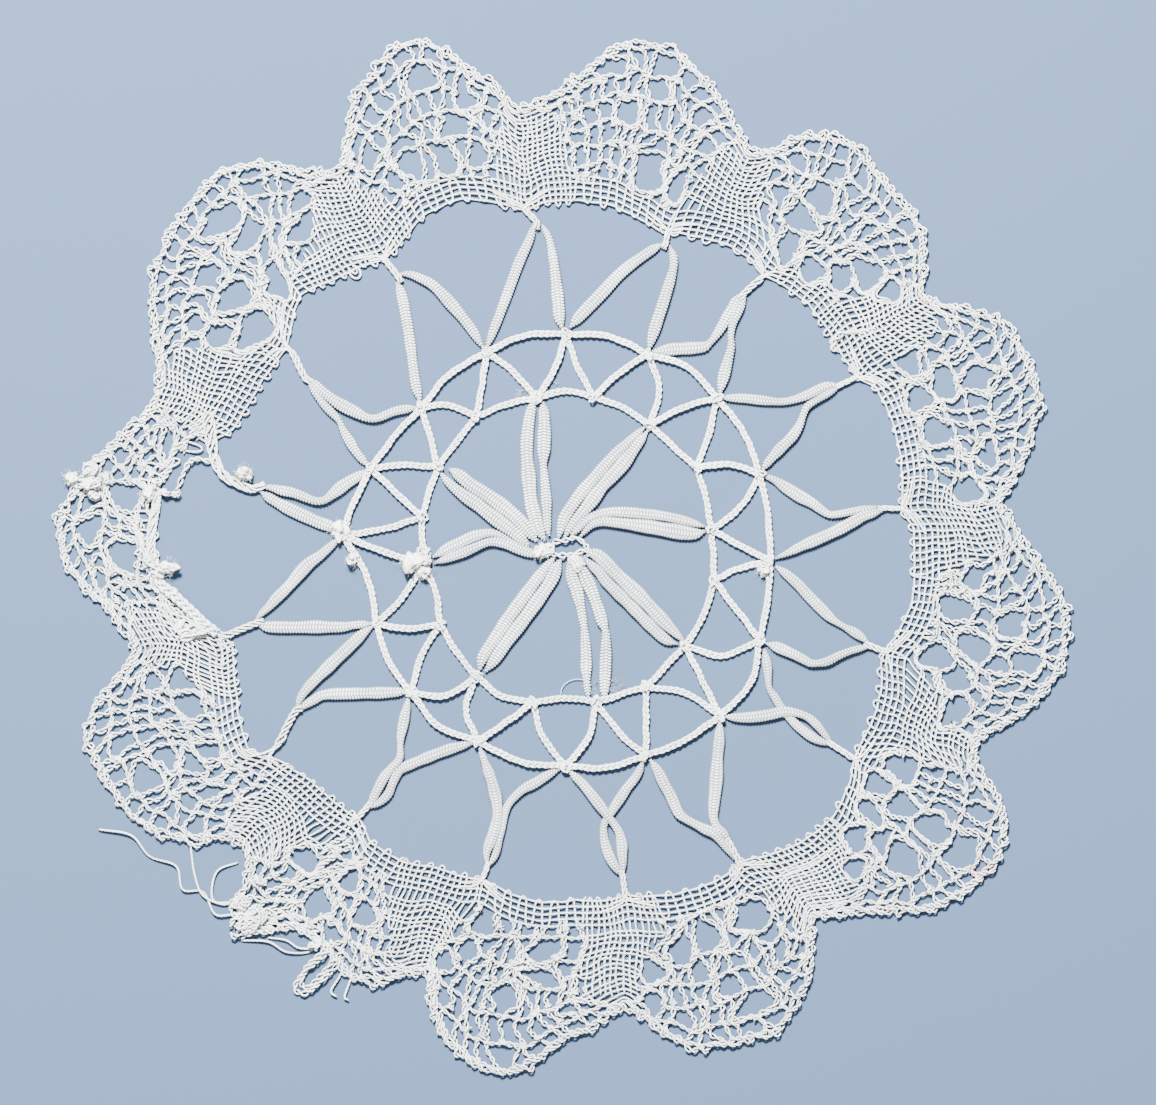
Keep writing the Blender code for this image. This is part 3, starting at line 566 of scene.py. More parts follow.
net = {
    "radius": 0.142,  # of its threads
    "pitch": 2.1,  # one full twist of a pair
    "off": 0.17,
    "spacing": 1.75,  # degrees between pairs near the rim
    "unevenness": 0.4,  # degrees, of a pair's place at each arc
    "stray": 0.5,
    "sway": 0.42,  # how far an upright pair bends from side to side on its way
    "arcSway": 0.3,
    "middle": 54.0,  # radius at which that is measured
    "arcSoftening": 35,  # of an arc's bends, in tenths of a degree
    "arcRise": 0.06,  # height of the arcs over the footing
    "pairRise": 0.06,  # how far the upright pairs lie over and under the footing's height by turns
    "pairShares": (0.15, 0.975),  # of the depth, where an upright pair begins and ends
    "pitchSpread": (0.85, 1.2),
    "lump": (1.25, 0.9, 1.0),  # where two pairs cross: along the arc, across it, and up
    "lumpSpread": (0.8, 1.2),
    "lumpTurns": 2.1,
    # arcs at the middle of each scallop: (spine bearing, radius of each arc from the lowest up)
    "arcs": [
        (36.0, 46.6, 49.8, 53.5, 56.8, 60.0),
        (69.5, 48.0, 51.2, 53.9, 57.2, 60.5),
        (101.5, 48.3, 51.4, 55.5, 58.4, 61.9),
        (128.0, 48.8, 51.8, 56.1, 61.1, 64.9),
        (157.0, 48.9, 54.4, 57.9, 60.9, 63.9),
        (187.0, 49.3, 52.8, 55.6, 59.6, 63.5),
        (214.0, 48.7, 51.0, 53.3, 55.6, 57.6),
        (242.0, 49.8, 53.2, 56.0, 59.0, 62.2),
        (273.0, 52.6, 54.1, 56.5, 58.8, 61.7),
        (311.0, 47.3, 50.9, 55.0, 58.8, 62.0),
        (341.0, 50.0, 54.4, 57.3, 61.2, 64.5),
        (370.5, 48.3, 51.4, 54.4, 58.0, 61.3),
    ],
    "valleyShares": (0.33, 0.47, 0.61, 0.75, 0.88),  # where the arcs run through the blocks
    # gaps wider than the mesh, by scallop: (bearing, radius, width, height)
    "gaps": [
        [(36.2, 54.9, 3.8, 3.3), (35.8, 51.4, 4.3, 2.3), (36.6, 47.4, 2.5, 3.6), (41.5, 47.4, 3.3, 2.8),
         (48.0, 51.8, 3.6, 3.3), (51.4, 52.6, 2.5, 2.8), (44.8, 49.4, 2.5, 2.5)],
        [(67.2, 56.8, 2.3, 4.3), (66.7, 52.3, 3.8, 2.7), (67.0, 48.9, 3.2, 3.3), (72.5, 49.4, 3.6, 2.8),
         (77.3, 55.1, 3.6, 2.0), (81.8, 51.8, 3.0, 3.3), (62.0, 49.7, 2.8, 2.3)],
        [(99.8, 57.4, 3.3, 3.0), (103.7, 60.3, 2.5, 3.8), (98.4, 50.0, 2.8, 4.1), (103.0, 53.2, 2.5, 3.8),
         (112.4, 53.6, 4.3, 2.8), (106.3, 48.8, 3.0, 3.6), (94.2, 51.9, 3.0, 2.3), (108.6, 51.9, 2.4, 2.6)],
        [(127.5, 63.2, 4.8, 3.2), (127.3, 58.4, 3.3, 4.2), (132.4, 57.8, 3.8, 3.8), (127.2, 53.6, 3.2, 3.4),
         (123.0, 51.1, 3.1, 4.1), (127.0, 49.6, 2.6, 3.2), (130.8, 51.1, 1.9, 4.1), (134.6, 51.9, 3.0, 2.5),
         (122.3, 62.6, 2.1, 2.8), (132.3, 54.3, 3.0, 1.7), (137.6, 54.7, 2.5, 2.3)],
        [(157.4, 62.6, 5.1, 2.3), (153.3, 52.5, 4.3, 2.5), (159.6, 52.3, 3.0, 3.0), (163.8, 53.0, 3.0, 3.0),
         (168.0, 55.0, 2.8, 2.5), (159.3, 59.3, 2.8, 2.2), (168.9, 58.7, 1.8, 3.0)],
        [(183.2, 54.5, 5.0, 1.8), (187.6, 57.3, 3.3, 2.5), (182.8, 50.9, 3.8, 2.0), (192.3, 48.8, 2.8, 2.8),
         (193.6, 52.2, 2.4, 2.4), (196.2, 54.4, 1.8, 2.6), (186.8, 64.4, 2.8, 1.8)],
        [(214.8, 55.0, 3.0, 3.8), (213.0, 50.3, 2.3, 2.8), (219.9, 51.4, 3.3, 2.8), (211.0, 57.1, 2.3, 2.0),
         (208.8, 53.0, 2.8, 2.8)],
        [(241.5, 60.6, 3.8, 3.0), (247.7, 51.7, 3.0, 2.8), (232.9, 58.7, 2.3, 2.1), (251.4, 52.0, 2.6, 2.0),
         (252.2, 55.0, 2.3, 2.1), (242.2, 57.0, 3.0, 1.7), (240.2, 54.4, 3.6, 1.6)],
        [(272.2, 60.3, 3.6, 2.1), (269.8, 56.3, 2.6, 3.4), (277.0, 56.3, 3.2, 4.0), (284.8, 52.6, 4.4, 1.8),
         (281.8, 57.6, 1.8, 1.8)],
        [(313.8, 60.2, 5.8, 2.8), (307.6, 57.1, 3.8, 2.0), (314.0, 56.4, 4.0, 2.2), (307.4, 52.8, 4.6, 3.0),
         (312.4, 49.4, 2.6, 3.2), (305.3, 48.3, 5.4, 3.4), (301.8, 51.6, 2.6, 2.2), (320.2, 52.6, 3.6, 2.4),
         (322.9, 55.4, 3.0, 1.7), (301.4, 55.0, 2.3, 2.0)],
        [(343.4, 62.4, 3.0, 3.0), (338.0, 52.8, 2.5, 3.0), (343.2, 51.4, 2.2, 3.6), (347.6, 51.2, 2.3, 2.8),
         (345.0, 55.5, 3.6, 2.0), (347.5, 58.2, 2.8, 1.8)],
        [(12.8, 48.4, 3.2, 3.8), (17.2, 48.3, 1.9, 4.6), (8.6, 56.1, 2.0, 3.1), (11.9, 59.4, 2.0, 2.4),
         (12.3, 62.6, 2.4, 1.9), (6.4, 61.7, 2.1, 2.1)],
    ],
    "gapGrip": 0.16,  # how much further out than its open width a gap holds the threads' middles
    "gapRounds": ((0.35, 2.5), (0.7, 3), (0.9, 4), (0.97, 7)),  # share of the size, hardness
    "gapCorners": (1.35, 2.7),  # 1 is a diamond, 2 is an oval, and more is nearer to a box
    "gapWobble": 0.14,  # share of its size by which three sides of a gap stand out
}

gapRows = np.array([gap for scallop in net["gaps"] for gap in scallop])
gapMiddles = place(gapRows[:, 0], gapRows[:, 1])
gapTurns = np.radians(gapRows[:, 0] + draws.uniform(-20, 20, len(gapRows)))
gapCorners = draws.uniform(*net["gapCorners"], len(gapRows))
gapPhases = draws.uniform(0, 2 * math.pi, len(gapRows))
gapHalves = gapRows[:, 2:] / 2 * (2 / gapCorners[:, None]) ** 0.25 + net["gapGrip"]


# Opens the gaps in a line, whose columns after x and y go along. In a gap's own measure, where its edge is
# at 1, a point at q moves out to (q^n + 1)^(1/n), so a far point stays. The gaps grow over several rounds,
# with the line read again at even steps between them, so that a line through a gap's middle goes round it.
def openGaps(line):
    for size, hardness in net["gapRounds"]:
        points = line[:, :2].copy()
        gaps = zip(gapMiddles, gapTurns, gapHalves * size, gapCorners, gapPhases)
        for middle, turn, half, corner, phase in gaps:
            rel = points - middle
            near = np.flatnonzero(np.abs(rel).max(axis=1) < 3.5 * half.max())
            if len(near) == 0:
                continue
            across = np.array([math.cos(turn), -math.sin(turn)])
            outward = np.array([math.sin(turn), math.cos(turn)])
            own = np.column_stack([rel[near] @ across, rel[near] @ outward]) / half
            q = np.maximum((np.abs(own) ** corner).sum(axis=1) ** (1 / corner), 1e-4)
            q /= 1 + net["gapWobble"] * np.sin(3 * np.arctan2(own[:, 1], own[:, 0]) + phase)
            own *= ((q**hardness + 1) ** (1 / hardness) / q)[:, None] * half
            points[near] = own[:, :1] * across + own[:, 1:] * outward + middle
        line = evenSteps(np.column_stack([points, line[:, 2:]]), 0.12)
    return line


# each arc's share of the depth all round: its spine value in mid-scallop, its valley value in the blocks
def arcShares():
    shares = []
    for arc, valleyShare in enumerate(net["valleyShares"]):
        bearings, values = [], []
        for scallop, row in enumerate(net["arcs"]):
            spine = row[0] % 360
            foot, rim = footAt(spine), rimAt(spine)
            value = min(max((row[1 + arc] - foot) / (rim - foot), 0.04), 0.93)
            bearings += [valleys[scallop] + 0.01, spine]
            values += [valleyShare, value]
        shares.append(allRoundValues(bearings, values, net["arcSoftening"]))
    return shares


arcs = arcShares()


def arcAt(arc, bearing):
    return np.interp(bearing, allRound, arcs[arc], period=360)


footing = {
    "offsets": (0.2, 0.98, 1.76, 2.54, 3.32),  # of its threads from the inner edge
    "full": 3.8,  # the offset from which the threads keep their place over a stalk
    "squeeze": 0.5,  # how much closer the ones below it come there
    "squeezeReach": 3.0,  # degrees
    "legSpacing": 1.3,  # degrees between the worker's legs where there is no block
    "loop": 0.22,  # how far the worker's turns hang below the edge
    "torn": (256.6, 286.5),  # bearings between which the footing is gone
    "tornSpread": 0.6,  # degrees by which its threads break off earlier or later
    "middle": 46.0,  # radius at which its threads' stray is measured
    "legLean": 0.85,  # 0 is an even zigzag, 1 brings the worker's legs upright
    "legWaver": 0.09,
}

weave = {
    "threadSpacing": 0.76,  # degrees between the threads of a block, at its middle
    "lift": 0.12,  # how far a thread rises over the ones that it crosses
    "topStray": 0.5,  # how unevenly a block's threads end at its top, in mm
    "threadStray": 0.17,  # degrees by which they stray from their places
    "lowest": 43.0,  # radius down to which they may run
    "kept": 48,  # radius under which they aren't cut at the block's sides or at the rim
    "turnSpread": (0.05, 0.35),  # how much further they hang below the edge than the footing's loops
    "warp": 0.35,  # share of the net's stray that the blocks take
    "passGap": 0.28,  # half of the gap between an arc's two threads as they pass through a block
    "lastShare": 0.055,  # of the depth, from the highest arc to the worker's last pass
}

rim = {
    "inset": 0.6,  # of its middle from the outer edge
    "half": 0.4,  # how far its two pairs swing from the middle
    "cross": 1.9,  # between the places where they cross
    "crossDrift": 0.45,  # how far those places drift, in crossings
    "swing": 0.8,  # share of the half that a pair swings by on average
    "swingDrift": 0.5,
    "wander": 0.22,
    "bumps": 0.25,  # how far the turned pairs stand out
    "rise": 0.14,  # how far a pair rises and falls as they cross
    "pitch": 2.0,
    "off": 0.17,
}


# The footing threads draw together where the stalks come in: an offset o shrinks to
# o (1 - squeeze (1 - o / full) exp(-(degrees from the stalk / reach)^2)).
def footShift(bearing, offset):
    away = np.abs((np.asarray(bearing)[..., None] - np.array(stalkBearings) + 180) % 360 - 180).min(axis=-1)
    pull = footing["squeeze"] * np.exp(-((away / footing["squeezeReach"]) ** 2))
    return offset * (1 - pull * (1 - offset / footing["full"]))


# the share of the depth where the worker crosses over an arc: halfway to the next arc
def workerShare(arc, bearing):
    below = arcAt(arc, bearing)
    return (below + arcAt(arc + 1, bearing)) / 2 if arc < 4 else below + weave["lastShare"]


# the number of passes below each radius along one bearing: the footing threads, then for each arc its two
# threads and the worker
def passCount(bearing, radius):
    marks = [footAt(bearing) + float(footShift(bearing, offset)) for offset in footing["offsets"]]
    for arc in range(5):
        middle = depthAt(bearing, arcAt(arc, bearing))
        worker = depthAt(bearing, workerShare(arc, bearing))
        marks += [middle - weave["passGap"], middle + weave["passGap"], worker]
    return np.interp(radius, np.maximum.accumulate(np.array(marks)), np.arange(len(marks)))


# how far a bearing lies inside any block at a share of the depth, and which of its threads runs there
def blockWeave(bearing, share):
    inBlock, count = np.zeros(len(bearing)), np.zeros(len(bearing))
    for block in range(12):
        left, right = blockSide(block, 0, share), blockSide(block, 1, share)
        middle = (left + right) / 2
        b = (bearing - middle + 180) % 360 - 180 + middle
        fromLeft, toRight = (b - left) / band["blockRamp"], (right - b) / band["blockRamp"]
        ramp = np.clip(fromLeft + 0.5, 0, 1) * np.clip(toRight + 0.5, 0, 1)
        first, wide = blockLines(block, depthAt(b, share))
        inBlock = np.maximum(inBlock, ramp)
        count = np.where(ramp > 0, (b - first) / wide * (blockThreads(block) - 1), count)
    return inBlock, count


def blockThreads(block):
    row = band["blocks"][block]
    return 2 * int(round((row[3] - row[2]) / weave["threadSpacing"] / 2))


# the circling threads of the footing
def footingThreads():
    strands = []
    start, end = footing["torn"]
    spread = footing["tornSpread"]
    for number, offset in enumerate(footing["offsets"]):
        first, last = end + draws.uniform(-spread, spread), 360 + start + draws.uniform(-spread, spread)
        bearing = np.arange(first, last, 0.15)
        radius = footAt(bearing) + footShift(bearing, offset)
        line = place(bearing, radius)
        line = line + leftOf(line) * stray(np.radians(bearing) * footing["middle"], thread["wander"])[:, None]
        inBlock, count = blockWeave(bearing, np.full(len(bearing), 0.05))
        crossing = np.where(inBlock > 0.5, count, bearing / footing["legSpacing"])
        line = evenSteps(softened(openGaps(np.column_stack([line, crossing])), 1), thread["bandStep"])
        line[:, 2] = thread["rest"] - weave["lift"] * np.cos(math.pi * (line[:, 2] + number))
        strands.append((line, thread["radius"]))
    return strands


# The worker that zigzags over the footing between two blocks. With t counting legs, the bearing runs on by
# t + lean sin(2 pi t) / 2 pi and the offset swings as -cos(pi t), so the legs stand nearly upright.
def footingWorker(block):
    start, end = blockSide(block, 1, 0.0), blockSide((block + 1) % 12, 0, 0.0)
    end = start + (end - start) % 360
    legs = max(int(round((end - start) / footing["legSpacing"])), 2)
    t = np.linspace(0, legs, legs * 16)
    lean = footing["legLean"] * np.sin(2 * math.pi * t) / (2 * math.pi)
    bearing = start + (t + lean) * (end - start) / legs
    top = footing["offsets"][-1] + 0.25
    middle, swing = (top - footing["loop"]) / 2, (top + footing["loop"]) / 2
    swing *= np.interp(t, np.arange(legs + 2), 1 + draws.normal(0, footing["legWaver"], legs + 2))
    offset = middle - swing * np.cos(math.pi * t)
    radius = footAt(bearing) + footShift(bearing, offset)
    passes = np.interp(offset, footing["offsets"], np.arange(5))
    height = thread["rest"] + weave["lift"] * np.cos(math.pi * (passes + np.round(t)))
    line = softened(openGaps(np.column_stack([place(bearing, radius), height])), 1)
    return evenSteps(line, thread["bandStep"]), thread["radius"]


# A block's upright threads, each pair joined by a turn at the inner edge: down one leg, round, up the next.
# A leg starts below the block's top and is cut where it leaves the block's sides.
def blockThreadsOf(block):
    count = blockThreads(block)
    strands = []
    for first in range(0, count, 2):
        legs = []
        for number in (first, first + 1):
            top = band["blocks"][block][8] - draws.uniform(0, weave["topStray"])
            radius = np.linspace(top, weave["lowest"], 70)
            left, wide = blockLines(block, radius)
            bearing = left + wide * number / (count - 1) + stray(radius, weave["threadStray"])
            inside = (bearing > sideAt(block, 0, radius) - 0.3) & (bearing < sideAt(block, 1, radius) + 0.3)
            inside = (inside & (radius < rimAt(bearing) - rim["inset"])) | (radius < weave["kept"])
            keep = np.minimum.accumulate(inside[::-1])[::-1] & (radius > footAt(bearing))
            legs.append((bearing[keep], radius[keep], np.full(keep.sum(), float(number))))
        (b1, r1, n1), (b2, r2, n2) = legs
        t = np.linspace(0.1, 0.9, 6)
        swing = footing["loop"] + draws.uniform(*weave["turnSpread"])
        loopB = b1[-1] + (b2[-1] - b1[-1]) * t
        loopR = footAt(loopB) - swing * np.sin(math.pi * t)
        bearing = np.concatenate([b1, loopB, b2[::-1]])
        radius = np.concatenate([r1, loopR, r2[::-1]])
        number = np.concatenate([n1, n1[-1] + t, n2])
        passes = passCount(loopB.mean(), radius)
        height = thread["rest"] + weave["lift"] * np.cos(math.pi * (passes + number))
        points = uneven(place(bearing, radius), np.full(len(bearing), net["stray"] * weave["warp"]))
        line = softened(openGaps(np.column_stack([points, height])), 1)
        strands.append((evenSteps(line, thread["bandStep"]), thread["radius"]))
    return strands


# A block's worker goes to and fro, once over each arc, and turns round the outermost threads.
def blockWorker(block):
    bearings, radii, passes = [], [], []
    threads = blockThreads(block)
    for arc in range(5):
        across = np.linspace(-0.03, 1.03, 60)
        if arc % 2:
            across = across[::-1]
        share = workerShare(arc, (valleys[block] + blockSide(block, 1, 0.6)) / 2)
        left, right = blockSide(block, 0, share), blockSide(block, 1, share)
        bearing = left + (right - left) * across
        radius = depthAt(bearing, workerShare(arc, bearing) + 0.008 * np.sin(across * 9 + block))
        first, wide = blockLines(block, radius)
        bearings.append(bearing)
        radii.append(radius)
        passes.append(7 + 3 * arc + (bearing - first) / wide * (threads - 1))
    bearing, radius, crossing = np.concatenate(bearings), np.concatenate(radii), np.concatenate(passes)
    points = uneven(place(bearing, radius), np.full(len(bearing), net["stray"] * weave["warp"]))
    line = evenSteps(softened(openGaps(np.column_stack([points, crossing])), 2), thread["bandStep"])
    line[:, 2] = thread["rest"] - weave["lift"] * np.cos(math.pi * line[:, 2])
    return line, thread["radius"]


bandCloth = footingThreads()
for block in range(12):
    bandCloth += [*blockThreadsOf(block), blockWorker(block)]
    if not footing["torn"][0] < blockSide(block, 1, 0.0) < footing["torn"][1]:
        bandCloth.append(footingWorker(block))
print("footing and blocks:", len(bandCloth), "threads")


# how far the net's threads stray: fully inside it, and little in the footing, the blocks and the rim
def netReach(share, inBlock):
    rise = np.clip((share - 0.17) / 0.12, 0, 1) * np.clip((1.0 - share) / 0.12, 0, 1)
    return net["stray"] * (0.25 + 0.75 * rise * (1 - inBlock))


# An arc is two threads all the way round. They twist about each other in the net and run side by side
# through the blocks, over and under the threads there: across = gap cos(angle), up = off sin(angle).
def arcThreads(arc):
    bearing = np.arange(0, 360.001, 0.11)
    share = arcAt(arc, bearing)
    radius = depthAt(bearing, share)
    run = np.radians(bearing) * net["middle"]
    line = place(bearing, radius)
    inBlock, count = blockWeave(bearing, share)
    line = line + leftOf(line) * (stray(run, net["arcSway"]) * (1 - 0.8 * inBlock))[:, None]
    line = uneven(line, netReach(share, inBlock))
    table = softened(openGaps(np.column_stack([line, inBlock, count])), 2)
    table = evenSteps(table, thread["bandStep"])
    table[-1] = table[0]
    line, inBlock, count = table[:, :2], table[:, 2], table[:, 3]
    step = np.diff(lengthRun(line), prepend=0) * (inBlock < 0.5)
    twist = np.cumsum(step) / (net["pitch"] / 2)
    inside = inBlock >= 0.5
    change = np.flatnonzero(np.diff(inside.astype(int)) == 1) + 1
    marks = np.concatenate([[0], change, [len(twist) - 1]])
    whole = np.round(twist[marks])
    twist += np.interp(np.arange(len(twist)), marks, whole - twist[marks])
    twist = np.where(inside, np.round(twist), twist)
    left = leftOf(line)
    gap = net["off"] + (weave["passGap"] - net["off"]) * np.clip(inBlock * 1.6 - 0.3, 0, 1)
    strands = []
    for number in (0, 1):
        angle = math.pi * (twist + number)
        flat = line + left * (gap * np.cos(angle))[:, None]
        below = 5 + 3 * arc + (np.cos(angle) < 0)
        crossing = np.cos(math.pi * (count + below))
        up = thread["rest"] + net["arcRise"] + net["off"] * np.sin(angle) * (1 - inBlock)
        strands.append((np.column_stack([flat, up - weave["lift"] * crossing * inBlock]), net["radius"]))
    return strands


# Upright pairs of one scallop, from the footing to the rim. Each has its own share of the way from one
# block to the next and strays a little at every arc. One in three comes out of a neighbour at a lower arc.
# Where a pair crosses an arc the four threads make a lump.
def uprightPairs(scallop):
    after = (scallop + 1) % 12
    turnOver = 360 if after == 0 else 0
    topLeft, topRight = blockSide(scallop, 1, 0.9), blockSide(after, 0, 0.9) + turnOver
    count = max(int(round((topRight - topLeft) / net["spacing"])), 4)
    share = np.linspace(*net["pairShares"], 90)
    left, right = blockSide(scallop, 1, share), blockSide(after, 0, share) + turnOver
    middle = (topLeft + topRight) / 2
    level = np.interp(share, [0, *[arcAt(arc, middle) for arc in range(5)], 1], np.arange(7))
    routes = []
    for number in range(count + 1):
        across = 0.5 + (number / count - 0.5) * (0.8 + 0.2 * share)
        bearing = left + (right - left) * across
        knots = draws.normal(0, net["unevenness"], 7)
        routes.append(bearing + np.interp(level, np.arange(7), knots))
    strands, lumps = [], []
    for number, bearing in enumerate(routes):
        start = 0
        if number % 3 == 1:
            source = min(max(number + draws.choice([-1, 1]), 0), count)
            fork = draws.choice([1, 2, 3])
            blend = np.clip(level - fork, 0, 1)
            bearing = bearing * blend + routes[source] * (1 - blend)
            start = np.searchsorted(level, fork - 0.2)
        line = place(bearing, depthAt(bearing, share))
        line = uneven(line, netReach(share, 0 * share))[start:]
        line = line + leftOf(line) * stray(lengthRun(line), net["sway"])[:, None]
        table = openGaps(np.column_stack([line, level[start:], bearing[start:]]))
        table = evenSteps(softened(table, 3), thread["step"])
        height = thread["rest"] + net["pairRise"] * (-1) ** number
        pitch = net["pitch"] * draws.uniform(*net["pitchSpread"])
        strands += twisted(table[:, :2], height, pitch, net["off"], net["radius"])
        for at in np.flatnonzero(np.diff(np.floor(table[:, 2])) > 0):
            size = np.array(net["lump"]) * draws.uniform(*net["lumpSpread"])
            lumps.append(tangle(table[at, :2], *size, net["lumpTurns"], table[at, 3], net["radius"], 7))
    return strands, lumps


for arc in range(5):
    bandCloth += arcThreads(arc)
netHalves, netLumps = [[], []], []
for scallop in range(12):
    strands, lumps = uprightPairs(scallop)
    netHalves[scallop // 6] += strands
    netLumps += lumps
print("net:", sum(map(len, netHalves)), "threads and", len(netLumps), "crossings")


# Two twisted pairs that cross again and again: pair k lies off the rim's middle by half cos(pi (turns + k)),
# where the turns drift, and the outer edge swells where a pair turns back.
def rimThreads():
    bearing = np.arange(0, 360.001, 0.1)
    middle = place(bearing, rimAt(bearing) - rim["inset"])
    run = lengthRun(middle)
    crossings = round(run[-1] / rim["cross"] / 2) * 2
    turns = run / run[-1] * crossings + stray(run, rim["crossDrift"])
    left = leftOf(middle)
    strands = []
    for pair in (0, 1):
        swing = np.cos(math.pi * (turns + pair)) * (rim["swing"] + stray(run, rim["swingDrift"]))
        off = rim["half"] * swing + rim["bumps"] * np.maximum(swing, 0) ** 3
        line = middle + left * (off + stray(run, rim["wander"]))[:, None]
        height = thread["rest"] + rim["rise"] + rim["rise"] * np.sin(math.pi * (turns + pair))
        table = evenSteps(np.column_stack([line, height]), thread["step"])
        strands += twisted(table[:, :2], table[:, 2], rim["pitch"], rim["off"], net["radius"])
    return strands


rimStrands = rimThreads()
print("rim:", len(rimStrands), "threads")


